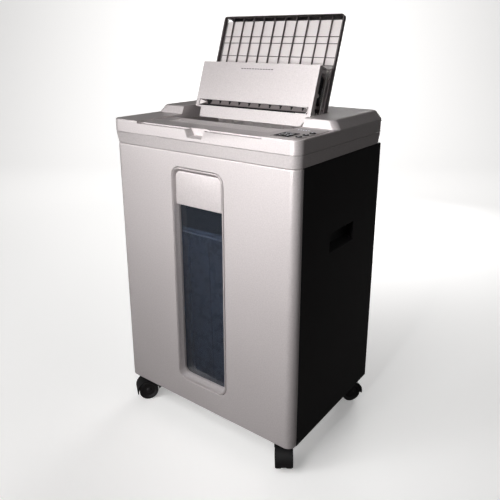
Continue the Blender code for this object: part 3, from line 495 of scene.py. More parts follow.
def loft(rings: Sequence[Sequence[Vector]], closed: bool = False) -> BMesh:
    """Skin rings of equal length.

    Args:
        rings: Closed rings in order.
        closed: Join the last ring to the first instead of capping both.

    Returns:
        The skinned mesh, normals outwards.
    """
    bm = bmesh.new()
    built = [[bm.verts.new(point) for point in ring] for ring in rings]
    pairs = list(zip(built, built[1:] + built[:1] if closed else built[1:]))
    for low, high in pairs:
        for i in range(len(low)):
            j = (i + 1) % len(low)
            bm.faces.new((low[i], low[j], high[j], high[i]))
    if not closed:
        bm.faces.new(built[0][::-1])
        bm.faces.new(built[-1])
    bmesh.ops.recalc_face_normals(bm, faces=bm.faces)
    return bm


def fillet_steps(radius: float, count: int = 4) -> list[Point2]:
    """Return (inset, drop) pairs of a quarter-round edge, from the side wall to the face."""
    turns = [math.radians(90.0 * i / count) for i in range(count + 1)]
    return [(radius * (1.0 - math.cos(t)), radius * (1.0 - math.sin(t))) for t in turns]


def slab(axis: str, across: Span, up: Span, radii: Sequence[float], span: Span, fillets: Span,
         steps: int = 10) -> BMesh:
    """Build a rounded plate with quarter-round edges on both faces.

    Args:
        axis: Axis through the plate.
        across: Span on the first other axis.
        up: Span on the second other axis.
        radii: Corner radii of the outline.
        span: Low and high face on the axis.
        fillets: Edge radius at the low and the high face.
        steps: Segments in a corner.

    Returns:
        The plate.
    """
    rings = []
    for inset, drop in reversed(fillet_steps(fillets[0])):
        rings.append(on_axis(axis, span[0] + drop, inset_outline(across, up, radii, inset, steps)))
    for inset, drop in fillet_steps(fillets[1]):
        rings.append(on_axis(axis, span[1] - drop, inset_outline(across, up, radii, inset, steps)))
    return loft(rings)


def turned(profile: Sequence[Point2], count: int = 48) -> BMesh:
    """Turn (radius, height) pairs about Z; ends on the axis close to a point.

    Args:
        profile: Pairs from one end to the other.
        count: Segments round the axis.

    Returns:
        The turned mesh.
    """
    bm = bmesh.new()
    rings = []
    for radius, height in profile:
        points = [(0.0, 0.0)] if radius == 0.0 else circle((0.0, 0.0), radius, count)
        rings.append([bm.verts.new((a, b, height)) for a, b in points])
    for low, high in zip(rings, rings[1:]):
        for i in range(count):
            j = (i + 1) % count
            corners = [low[i % len(low)], low[j % len(low)], high[j % len(high)],
                       high[i % len(high)]]
            bm.faces.new(list(dict.fromkeys(corners)))
    bmesh.ops.recalc_face_normals(bm, faces=bm.faces)
    return bm


def tube(path: Sequence[Vector], radius: float, count: int = 10) -> BMesh:
    """Build a round wire along a path.

    Args:
        path: Points of the wire's middle.
        radius: Wire radius.
        count: Sides of the wire.

    Returns:
        The wire, capped.
    """
    rings = []
    side = None
    for i, point in enumerate(path):
        ahead = (path[min(i + 1, len(path) - 1)] - path[max(i - 1, 0)]).normalized()
        if side is None:
            side = ahead.orthogonal().normalized()
        side = (side - ahead * side.dot(ahead)).normalized()
        third = ahead.cross(side)
        rings.append([point + side * a + third * b for a, b in circle((0.0, 0.0), radius, count)])
    return loft(rings)


def smooth(mesh: bpy.types.Mesh) -> None:
    """Shade a mesh smooth and keep its corners crisp."""
    mesh.shade_smooth()
    mesh.set_sharp_from_angle(angle=SHARP)


def make(name: str, bm: BMesh, matrix: Matrix | None = None) -> Obj:
    """Turn a built mesh into an object at the origin.

    Args:
        name: Object name.
        bm: Mesh, freed here.
        matrix: Where the mesh goes, if it was built elsewhere.

    Returns:
        The object, linked to the scene.
    """
    mesh = bpy.data.meshes.new(name)
    if matrix is not None:
        bm.transform(matrix)
    bm.to_mesh(mesh)
    bm.free()
    smooth(mesh)
    obj = bpy.data.objects.new(name, mesh)
    bpy.context.scene.collection.objects.link(obj)
    return obj


def settle(obj: Obj) -> Obj:
    """Turn an object's modifiers into plain mesh.

    Args:
        obj: Object that is worked on.

    Returns:
        The same object.
    """
    bpy.context.view_layer.update()
    dg = bpy.context.evaluated_depsgraph_get()
    mesh = bpy.data.meshes.new_from_object(obj.evaluated_get(dg))
    obj.modifiers.clear()
    old = obj.data
    obj.data = mesh
    bpy.data.meshes.remove(old)
    return obj


def carve(obj: Obj, tools: Iterable[Obj], operation: str = "DIFFERENCE",
          ) -> Obj:
    """Cut tools out of an object, or join them to it, and clean the result.

    Args:
        obj: Object that is worked on.
        tools: Closed meshes, removed afterwards.
        operation: "DIFFERENCE" or "UNION".

    Returns:
        The same object.
    """
    tools = list(tools)
    for tool in tools:
        modifier = obj.modifiers.new(tool.name, "BOOLEAN")
        modifier.operation = operation
        modifier.solver = "EXACT"
        modifier.object = tool
    settle(obj)
    for tool in tools:
        bpy.data.objects.remove(tool, do_unlink=True)
    bm = bmesh.new()
    bm.from_mesh(obj.data)
    bmesh.ops.remove_doubles(bm, verts=bm.verts, dist=MERGE)
    bmesh.ops.dissolve_limit(bm, angle_limit=FLAT, verts=bm.verts, edges=bm.edges)
    bm.to_mesh(obj.data)
    bm.free()
    smooth(obj.data)
    return obj


def round_edges(obj: Obj, width: float, segments: int = 3, angle: float = SHARP) -> Obj:
    """Round an object's sharp edges and even out its shading.

    Args:
        obj: Object that is worked on.
        width: Width of the rounding.
        segments: Strips in a rounding.
        angle: Edges sharper than this are rounded.

    Returns:
        The same object.
    """
    bevel = obj.modifiers.new("rounding", "BEVEL")
    bevel.width = width
    bevel.segments = segments
    bevel.limit_method = "ANGLE"
    bevel.angle_limit = angle
    bevel.use_clamp_overlap = True
    settle(obj)
    smooth(obj.data)
    normals = obj.modifiers.new("normals", "WEIGHTED_NORMAL")
    normals.keep_sharp = True
    return settle(obj)


def solid(name: str, x: Span, y: Span, z: Span, round_to: float = 0.0) -> Obj:
    """Build a box by its spans.

    Args:
        name: Object name.
        x: Span on X.
        y: Span on Y.
        z: Span on Z.
        round_to: Width of the rounding of its edges, if any.

    Returns:
        The box.
    """
    bm = bmesh.new()
    size = Vector((x[1] - x[0], y[1] - y[0], z[1] - z[0], 1.0))
    centre = Vector((sum(x), sum(y), sum(z))) / 2.0
    bmesh.ops.create_cube(bm, size=1.0, matrix=Matrix.Translation(centre) @ Matrix.Diagonal(size))
    obj = make(name, bm)
    return round_edges(obj, round_to) if round_to else obj


def extruded(name: str, axis: str, points: Outline, span: Span) -> Obj:
    """Build a straight piece of one section."""
    return make(name, loft([on_axis(axis, at, points) for at in span]))


def copied(node: str, name: str, width: float, segments: int = 3) -> Obj:
    """Copy a CAD node, clean it and round its edges.

    Args:
        node: CAD node.
        name: Name of the new piece.
        width: Width of the rounding.
        segments: Strips in a rounding.

    Returns:
        The new piece.
    """
    bm = bmesh.new()
    bm.from_mesh(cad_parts[node].data)
    bmesh.ops.remove_doubles(bm, verts=bm.verts, dist=MERGE_CAD)
    bmesh.ops.dissolve_limit(bm, angle_limit=FLAT_CAD, verts=bm.verts, edges=bm.edges)
    return round_edges(make(name, bm), width, segments)


def hand_over(obj: Obj, finish: Finish, body: Body | str,
              replaces: Sequence[str] = ()) -> Obj:
    """Dress a finished piece and give it to its body.

    Args:
        obj: Finished piece.
        finish: Finish that it gets all over.
        body: Body it rides on, or the name of a castor's body.
        replaces: CAD nodes that it stands for.

    Returns:
        The same piece.
    """
    body = body.value if isinstance(body, Body) else body
    obj.data.materials.clear()
    obj.data.materials.append(finish.material())
    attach(obj, body)
    if replaces:
        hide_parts(*replaces)
    LOG.info("%s: %s on %s, %d faces", obj.name, finish.name, body, len(obj.data.polygons))
    return obj


def recast(node: str, name: str, width: float, finish: Finish, body: Body | str,
           segments: int = 3) -> Obj:
    """Hand over a CAD node's own shape, cleaned and with its edges rounded."""
    return hand_over(copied(node, name, width, segments), finish, body, [node])


def spans(node: str) -> tuple[Span, Span, Span]:
    """Return a CAD node's X, Y and Z spans."""
    low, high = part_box(node)
    return (low[0], high[0]), (low[1], high[1]), (low[2], high[2])


# ---------------------------------------------------------------- repeats by Geometry Nodes
def repeat_tree() -> Tree:
    """Build the tree that repeats a piece along a line, turning it a step each time.

    Returns:
        The tree: Piece, Count, Step, Turn and Finish in; plain mesh out.
    """
    found = bpy.data.node_groups.get("repeat along a line")
    if found:
        return found
    tree = bpy.data.node_groups.new("repeat along a line", "GeometryNodeTree")
    face = tree.interface
    face.new_socket("Piece", in_out="INPUT", socket_type="NodeSocketGeometry")
    face.new_socket("Count", in_out="INPUT", socket_type="NodeSocketInt")
    face.new_socket("Step", in_out="INPUT", socket_type="NodeSocketVector")
    face.new_socket("Turn", in_out="INPUT", socket_type="NodeSocketVector")
    face.new_socket("Finish", in_out="INPUT", socket_type="NodeSocketMaterial")
    face.new_socket("Mesh", in_out="OUTPUT", socket_type="NodeSocketGeometry")
    given = add_node(tree, "NodeGroupInput").outputs
    line = add_node(tree, "GeometryNodeMeshLine",
                    {"Count": given["Count"], "Offset": given["Step"]}, mode="OFFSET")
    index = add_node(tree, "GeometryNodeInputIndex")
    turn = add_node(tree, "ShaderNodeVectorMath", {0: given["Turn"], "Scale": index.outputs[0]},
                    operation="SCALE")
    copies = add_node(tree, "GeometryNodeInstanceOnPoints",
                      {"Points": line.outputs[0], "Instance": given["Piece"],
                       "Rotation": turn.outputs[0]})
    real = add_node(tree, "GeometryNodeRealizeInstances", {0: copies.outputs[0]})
    dressed = add_node(tree, "GeometryNodeSetMaterial",
                       {"Geometry": real.outputs[0], "Material": given["Finish"]})
    add_node(tree, "NodeGroupOutput", {0: dressed.outputs[0]})
    return tree


def set_input(modifier: bpy.types.Modifier, name: str, value: object) -> None:
    """Set a named input of a Geometry Nodes modifier by its socket's identifier.

    Args:
        modifier: The modifier.
        name: Name of the input.
        value: Its value.
    """
    for item in modifier.node_group.interface.items_tree:
        if item.item_type == "SOCKET" and item.in_out == "INPUT" and item.name == name:
            modifier[item.identifier] = value


@dataclass(frozen=True)
class Repeat:
    """A row, or with no step a ring, of one piece."""

    count: int
    step: Triple = (0.0, 0.0, 0.0)
    turn: Triple = (0.0, 0.0, 0.0)

    def apply(self, obj: Obj, finish: Finish) -> Obj:
        """Repeat an object's mesh and make the result plain.

        Args:
            obj: Object whose mesh is the first piece of the row.
            finish: Finish of the whole row.

        Returns:
            The same object with the whole row as its mesh.
        """
        modifier = obj.modifiers.new("repeat", "NODES")
        modifier.node_group = repeat_tree()
        for name, value in (("Count", self.count), ("Step", self.step), ("Turn", self.turn),
                            ("Finish", finish.material())):
            set_input(modifier, name, value)
        settle(obj)
        smooth(obj.data)
        return obj


def placed(obj: Obj, matrix: Matrix) -> Obj:
    """Move an object's mesh, leaving the object at the origin.

    Args:
        obj: Object whose mesh moves.
        matrix: Where it goes.

    Returns:
        The same object.
    """
    obj.data.transform(matrix)
    if matrix.determinant() < 0.0:
        obj.data.flip_normals()
    return obj


def absorb(target: Obj, others: Iterable[Obj]) -> Obj:
    """Add other objects' meshes to one object, as separate shells, and remove them.

    Args:
        target: Object that gets them.
        others: Objects that are taken in.

    Returns:
        The target.
    """
    bm = bmesh.new()
    bm.from_mesh(target.data)
    for other in list(others):
        bm.from_mesh(other.data)
        bpy.data.objects.remove(other, do_unlink=True)
    bm.to_mesh(target.data)
    bm.free()
    smooth(target.data)
    return target


# ---------------------------------------------------------------- cabinet
def screw_head(radius: float = 0.0036, height: float = 0.0013) -> Obj:
    """Build a pan-head screw with a cross recess, standing on Z at zero.

    Args:
        radius: Radius of the head.
        height: Height of the head.

    Returns:
        The screw head.
    """
    profile = [(0.0, -height), (radius * 0.96, -height), (radius, 0.0),
               (radius * 0.94, height * 0.55), (radius * 0.7, height * 0.92), (0.0, height)]
    head = make("screw_head", turned(profile, 20))
    arm, half = radius * 0.55, radius * 0.12
    tools = [solid("recess", (-arm, arm), (-half, half), (height * 0.3, height * 2.0)),
             solid("recess", (-half, half), (-arm, arm), (height * 0.3, height * 2.0))]
    return carve(head, tools)


@dataclass
class Cabinet:
    """Black laminate carcass with the mains fittings at the back."""

    board_edge: float = 0.0008
    edge_band: float = 0.0006
    screw_x: float = 0.1705
    screw_z: Span = (0.090, 0.425)
    screw_count: int = 5
    pin_half: Point2 = (0.0010, 0.0030)
    pin_reach: float = 0.011
    pin_back: float = 0.0165
    pin_spots: tuple[Point2, ...] = ((-0.007, -0.002), (0.0, 0.003), (0.007, -0.002))
    base_edge: float = 0.0015
    rib_count: int = 7
    rib_inset: float = 0.045
    rib_thick: float = 0.003
    rib_depth: float = 0.0035
    mark_deep: float = 0.0006
    mark_stroke: float = 0.0008
    mark_ring: Point2 = (0.0015, 0.0022)

    def build(self) -> None:
        """Build and dress the whole cabinet."""
        self.boards()
        self.base()
        self.screws()
        self.inlet()
        self.rocker()
        self.rails()

    def boards(self) -> None:
        """Round the edges of the side boards and the back, as their edge bands are."""
        for node, name in (("side_panel_left", "side_board_left"),
                           ("side_panel_right", "side_board_right"), ("back_panel", "back_board")):
            width = self.edge_band if node == "back_panel" else self.board_edge
            recast(node, name, width, LAMINATE, Body.CABINET)

    def base(self) -> None:
        """Build the base plate with stiffening ribs under it."""
        x, y, z = spans("base_plate")
        recast("base_plate", "base_board", self.base_edge, BLACK, Body.CABINET)
        inset = self.rib_inset
        step = (y[1] - y[0] - 2.0 * inset - self.rib_thick) / (self.rib_count - 1)
        rib = solid("base_ribs", (x[0] + inset, x[1] - inset),
                    (y[0] + inset, y[0] + inset + self.rib_thick),
                    (z[0] - self.rib_depth, z[0] + 0.001), 0.0006)
        Repeat(self.rib_count, (0.0, step, 0.0)).apply(rib, BLACK)
        hand_over(rib, BLACK, Body.CABINET)

    def screws(self) -> None:
        """Set two columns of screws that hold the back."""
        face = spans("back_panel")[1][1]
        step = (self.screw_z[1] - self.screw_z[0]) / (self.screw_count - 1)
        for side, name in ((-1, "back_screws_left"), (1, "back_screws_right")):
            screw = screw_head()
            screw.name = name
            spot = Matrix.Translation((side * self.screw_x, face - 0.0008, self.screw_z[0]))
            placed(screw, spot @ Matrix.Rotation(math.radians(-90.0), 4, "X"))
            Repeat(self.screw_count, (0.0, 0.0, step)).apply(screw, ZINC)
            hand_over(screw, ZINC, Body.CABINET)

    def inlet(self) -> None:
        """Build the mains inlet with its three flat pins."""
        x, y, z = spans("power_inlet")
        recast("power_inlet", "mains_inlet", 0.0005, BLACK, Body.CABINET)
        back = y[1] - self.pin_back
        pins = []
        for dx, dz in self.pin_spots:
            pins.append(solid("pin", around(mid(x) + dx, self.pin_half[0]),
                              (back, back + self.pin_reach), around(mid(z) + dz, self.pin_half[1]),
                              0.0003))
        pins[0].name = "inlet_pins"
        hand_over(absorb(pins[0], pins[1:]), CHROME, Body.CABINET)

    def rocker(self) -> None:
        """Build the rocker of the power switch and the two marks moulded on it."""
        x, y, z = spans("power_switch")
        recast("power_switch", "rocker_key", 0.0008, BLACK, Body.ROCKER, 4)
        low = y[1] - 0.0016
        high = low + self.mark_deep
        inner, outer = self.mark_ring
        stroke = solid("rocker_marks", around(mid(x), self.mark_stroke / 2.0), (low, high),
                       (z[1] - 0.0080, z[1] - 0.0040), 0.0001)
        centre = (mid(x), z[0] + 0.0062)
        corners = ((low, outer), (high, outer), (high, inner), (low, inner))
        ring = [on_axis("Y", at, circle(centre, radius, 28)) for at, radius in corners]
        hand_over(absorb(stroke, [make("ring", loft(ring, closed=True))]), INK, Body.ROCKER)

    def rails(self) -> None:
        """Round the folded rails that the drawer runs on."""
        for side in ("left", "right"):
            recast("drawer_rail_" + side, "runner_rail_" + side, 0.0007, ZINC, Body.CABINET)


# ---------------------------------------------------------------- drawer
@dataclass
class Drawer:
    """Lacquered drawer front with its framed window, and the bin behind it."""

    corner: float = 0.015
    edge: float = 0.0018
    opening: tuple[Span, Span] = ((-0.0590, 0.0590), (0.1025, 0.5240))
    opening_radius: float = 0.019
    inner: tuple[Span, Span] = ((-0.0520, 0.0520), (0.1110, 0.5165))
    inner_radius: float = 0.012
    bezel: tuple[Point2, ...] = ((0.0, 0.0), (0.0, 0.0166), (0.05, 0.0175), (0.12, 0.0180),
                                 (0.28, 0.0180), (0.31, 0.0164), (0.39, 0.0164), (0.42, 0.0174),
                                 (0.47, 0.0174), (0.52, 0.0158), (0.92, 0.0086), (0.98, 0.0078),
                                 (1.0, 0.0070), (1.0, 0.0))
    groove: float = 0.0013
    pocket_x: Span = (0.066, 0.192)
    pocket_z: Span = (0.070, 0.535)
    pane_corner: float = 0.0116
    bin_wall: float = 0.0028
    bin_corner: float = 0.018
    bin_z: Triple = (0.0816, 0.3930, 0.4050)
    bin_foot: Triple = (0.1550, -0.1080, 0.0960)
    bin_top: Triple = (0.1650, -0.1180, 0.1060)
    bin_ribs: int = 5
    bin_rib_pitch: float = 0.045
    bin_rib_z: Span = (0.100, 0.385)
    rim_highlight: Triple = (0.140, -0.1206, 0.3966)

    def build(self) -> None:
        """Build and dress the whole drawer."""
        self.front()
        self.window()
        self.carrier()
        self.bin()

    def front(self) -> None:
        """Build the moulded front with rounded upright corners and a hole for the window."""
        x, y, z = spans("front_panel")
        bm = slab("Z", x, y, (self.corner, self.corner, 0.0006, 0.0006), z, (self.edge, self.edge),
                  14)
        panel = make("drawer_front", bm)
        hole = outline(self.opening[0], self.opening[1], (self.opening_radius,) * 4, 14)
        tools = [extruded("hole", "Y", hole, (y[0] - 0.01, y[1] + 0.01))]
        low, high = self.pocket_x
        for across in ((low, high), (-high, -low)):
            tools.append(solid("pocket", across, (y[0] + 0.004, y[1] + 0.01), self.pocket_z))
        carve(panel, tools)
        round_edges(panel, 0.0007, 3)
        hand_over(panel, SILVER, Body.DRAWER, ["front_panel"])

    def bezel_ring(self, part: float, height: float) -> list[Vector]:
        """Draw one ring of the bezel.

        Args:
            part: Place of the ring, from zero at the outer outline to one at the inner.
            height: How far it stands forward of the bezel's back.

        Returns:
            The ring.
        """
        groove = self.groove
        back = spans("window_bezel")[1][1]
        sides = []
        for outer, inner in zip(self.opening, self.inner):
            low, high = outer[0] + groove, outer[1] - groove
            sides.append((low + (inner[0] - low) * part, high + (inner[1] - high) * part))
        first = self.opening_radius - groove
        radius = first + (self.inner_radius - first) * part
        return on_axis("Y", back - height, outline(*sides, (radius,) * 4, 14))

    def window(self) -> None:
        """Build the bezel with its raised ring and step, the blank at its head and the clear pane.
        """
        bezel = make("window_surround", loft([self.bezel_ring(*step) for step in self.bezel],
                                             closed=True))
        hand_over(bezel, SILVER, Body.DRAWER, ["window_bezel"])
        square, bend = (0.0008,) * 2, (self.pane_corner,) * 2
        x, y, z = spans("window_filler")
        blank = make("window_blank", slab("Y", x, z, square + bend, y, (0.0014, 0.0004), 12))
        hand_over(blank, SILVER, Body.DRAWER, ["window_filler"])
        x, y, z = spans("window_pane")
        pane = make("window_glass", slab("Y", x, z, bend + square, y, (0.0003, 0.0003), 12))
        hand_over(pane, SMOKED, Body.DRAWER, ["window_pane"])

    def carrier(self) -> None:
        """Round the edges of the tray that carries the bin."""
        recast("bin_carrier", "bin_cradle", 0.0008, BLACK, Body.DRAWER)

    def bin_ring(self, z: float, grow: float) -> list[Vector]:
        """Draw the bin's outline at a height.

        Args:
            z: Height.
            grow: How far the outline is moved out.

        Returns:
            The ring.
        """
        low, _, high = self.bin_z
        part = (z - low) / (high - low)
        pairs = zip(self.bin_foot, self.bin_top)
        half, front, back = (foot + (top - foot) * part for foot, top in pairs)
        plan = outline((-half - grow, half + grow), (front - grow, back + grow),
                       (self.bin_corner + grow,) * 4, 12)
        return on_axis("Z", z, plan)

    def bin(self) -> None:
        """Build the thin-walled bin with a rolled rim and upright ribs on its front, and a pale rod
        along the rim's front as a painted highlight.
        """
        wall = self.bin_wall
        foot, rim, top = self.bin_z
        outside = ((foot, -0.004), (foot + 0.0012, -0.0012), (foot + 0.004, 0.0),
                   (rim - 0.001, 0.0), (rim, 0.0006))
        roll = ((rim, 0.0018), (rim + 0.0012, 0.0028), (rim + 0.0032, 0.0030),
                (rim + 0.0085, 0.0030), (rim + 0.0108, 0.0020), (rim + 0.0120, 0.0002))
        inside = ((top - 0.0002, -0.0014), (top - 0.0014, -wall), (foot + 0.008, -wall),
                  (foot + wall + 0.0012, -wall - 0.0014), (foot + wall, -wall - 0.004))
        rings = [self.bin_ring(z, grow) for z, grow in outside + roll + inside]
        hand_over(make("shred_bin", loft(rings)), BIN_PP_PAINTED_LIGHT, Body.DRAWER, ["waste_bin"])
        pitch = self.bin_rib_pitch
        low, high = (min(point.y for point in self.bin_ring(z, 0.0)) for z in self.bin_rib_z)
        first = -pitch * (self.bin_ribs - 1) / 2.0
        rings = []
        for z, y, reach in ((0.100, low, 0.0002), (0.106, low, 0.0016), (0.378, high, 0.0016),
                            (0.384, high, 0.0002)):
            plan = outline(around(first, 0.0016), (y - reach, y + 0.0008), (0.0002,) * 4, 2)
            rings.append(on_axis("Z", z, plan))
        ribs = make("bin_ribs", loft(rings))
        Repeat(self.bin_ribs, (pitch, 0.0, 0.0)).apply(ribs, BIN_PP_PAINTED_LIGHT)
        hand_over(ribs, BIN_PP_PAINTED_LIGHT, Body.DRAWER)
        # A pale rod along the front of the rolled rim is a painted highlight.
        half, y, z = self.rim_highlight
        line = [Vector((x, y, z)) for x in (-half, half)]
        hand_over(make("bin_rim_highlight", tube(line, 0.0016, 10)), ACETAL, Body.DRAWER)


# ---------------------------------------------------------------- shredding head
@dataclass
class Head:
    """Cutters, feed rollers and drive inside the cabinet."""

    axis_z: float = 0.500
    teeth: int = 14
    tip: float = 0.0210
    root: float = 0.0186
    spacer: float = 0.0150
    shaft: float = 0.0060
    disc: float = 0.0080
    pitch: float = 0.0200
    discs: int = 12
    shaft_x: Span = (-0.1350, 0.1310)
    gear_teeth: int = 12
    gear_x: Span = (-0.1400, -0.1310)
    gear_tooth: tuple[Point2, ...] = ((0.0158, -0.27), (0.0198, -0.19), (0.0212, -0.12),
                                      (0.0212, 0.12), (0.0198, 0.19), (0.0158, 0.27))
    tyre_x: Span = (-0.062, 0.030)
    tyre_wide: float = 0.032
    tyre_ridges: int = 24
    motor_radius: float = 0.027
    sheet_edge: float = 0.0004
    tall_parts: int = 5
    tall_pitch: float = 0.018
    chips: int = 4
    chip_pitch: float = 0.022

    def build(self) -> None:
        """Build and dress the whole head."""
        for name, body, y, start, turn in (("front", Body.FRONT_CUTTER, 0.0110, -0.1160, 0.16),
                                           ("back", Body.BACK_CUTTER, 0.0490, -0.1060, -0.16)):
            self.cutter(name, body, y, start, turn)
        self.roller()
        self.drive()
        self.board()
        self.plates()

    def cutter(self, name: str, body: Body, y: float, start: float, turn: float) -> None:
        """Build one cutter: hooked discs along a stepped shaft with its gear.

        Args:
            name: Which cutter.
            body: Body it turns with.
            y: Place of its axis.
            start: X of its first disc.
            turn: Twist from one disc to the next.
        """
        hook = ((self.root, 0.0), (self.tip, 0.06), (self.tip * 0.985, 0.16), (self.root, 0.36))
        disc = extruded("cutter_discs_" + name, "X", toothed(self.teeth, hook),
                        (start, start + self.disc))
        round_edges(disc, 0.0002, 2)
        Repeat(self.discs, (self.pitch, 0.0, 0.0), (turn, 0.0, 0.0)).apply(disc, TOOL_STEEL)
        last = start + self.pitch * (self.discs - 1) + self.disc
        low, high = self.shaft_x
        profile = [(0.0, low), (self.shaft, low), (self.shaft, start),
                   (self.spacer, start + 0.0005), (self.spacer, last - 0.0005), (self.shaft, last),
                   (self.shaft, high - 0.001), (self.shaft - 0.0006, high), (0.0, high)]
        core = make("core", turned(profile, 40), ALONG_X)
        turn_of_tooth = 2.0 * math.pi / self.gear_teeth
        tooth = [(radius, part * turn_of_tooth) for radius, part in self.gear_tooth]
        plan = toothed(self.gear_teeth, tooth, 0.5 if name == "back" else 0.0)
        gear = round_edges(extruded("gear", "X", plan, self.gear_x), 0.0003, 2)
        whole = placed(absorb(disc, [core, gear]), Matrix.Translation((0.0, y, self.axis_z)))
        hand_over(whole, TOOL_STEEL, body, ["cutter_shaft_" + name])

    def roller(self) -> None:
        """Build the feed shaft, its rubber tyres and the ridges across them."""
        x, y, z = spans("feed_roller")
        centre = Matrix.Translation((0.0, mid(y), mid(z)))
        profile = [(0.0, x[0]), (0.0040, x[0] + 0.0004), (0.0040, x[1] - 0.0004), (0.0, x[1])]
        steel = make("feed_spindle", turned(profile, 24), centre @ ALONG_X)
        hand_over(steel, ZINC, Body.FEEDER)
        tyres = []
        for low in self.tyre_x:
            high = low + self.tyre_wide
            profile = [(0.0041, low), (0.0140, low), (0.0150, low + 0.001), (0.0150, high - 0.001),
                       (0.0140, high), (0.0041, high)]
            tyres.append(make("tyre", turned(profile, 32), ALONG_X))
            ridge = solid("ridge", (low + 0.001, high - 0.001), (-0.0006, 0.0006), (0.0146, 0.0159),
                          0.0003)
            ring = Repeat(self.tyre_ridges, turn=(2.0 * math.pi / self.tyre_ridges, 0.0, 0.0))
            tyres.append(ring.apply(ridge, RUBBER))
        tyres[0].name = "feed_tyres"
        whole = placed(absorb(tyres[0], tyres[1:]), centre)
        hand_over(whole, RUBBER, Body.FEEDER, ["feed_roller"])

    def drive(self) -> None:
        """Build the motor can with its crimped ends, and round the gearbox."""
        x, y, z = spans("drive_motor")
        centre = Matrix.Translation((0.0, mid(y), mid(z))) @ ALONG_X
        low, high, radius = x[0], x[1] - 0.008, self.motor_radius
        profile = [(0.0, low), (radius - 0.003, low), (radius - 0.001, low + 0.002),
                   (radius - 0.001, low + 0.008), (radius, low + 0.009), (radius, high - 0.009),
                   (radius - 0.001, high - 0.008), (radius - 0.001, high - 0.002),
                   (radius - 0.003, high), (0.011, high), (0.011, x[1]), (0.0, x[1])]
        hand_over(make("motor_can", turned(profile, 48), centre), ZINC, Body.CABINET,
                  ["drive_motor"])
        recast("gearbox", "gear_case", 0.0008, GREY, Body.CABINET)

    def board(self) -> None:
        """Build the control board with its parts."""
        x, y, z = spans("control_board")
        recast("control_board", "driver_board", 0.0002, BOARD, Body.CABINET, 2)
        tall = solid("board_parts", (x[1], x[1] + 0.008), (y[0] + 0.010, y[0] + 0.018),
                     (z[0] + 0.012, z[0] + 0.020), 0.0008)
        Repeat(self.tall_parts, (0.0, self.tall_pitch, 0.0)).apply(tall, BLACK)
        flat = solid("chips", (x[1], x[1] + 0.0022), (y[0] + 0.012, y[0] + 0.024),
                     (z[0] + 0.044, z[0] + 0.052), 0.0003)
        Repeat(self.chips, (0.0, self.chip_pitch, 0.0)).apply(flat, BLACK)
        hand_over(absorb(tall, [flat]), BLACK, Body.CABINET)

    def plates(self) -> None:
        """Round the sheet parts and bars that hold the head together."""
        for node in ("head_floor", "cutter_plate_left", "cutter_plate_right", "tie_bar_front",
                     "tie_bar_back"):
            recast(node, node + "_part", self.sheet_edge, ZINC, Body.CABINET, 2)
        recast("throat_guide", "throat_guide_part", self.sheet_edge, BLACK, Body.CABINET,
               2)


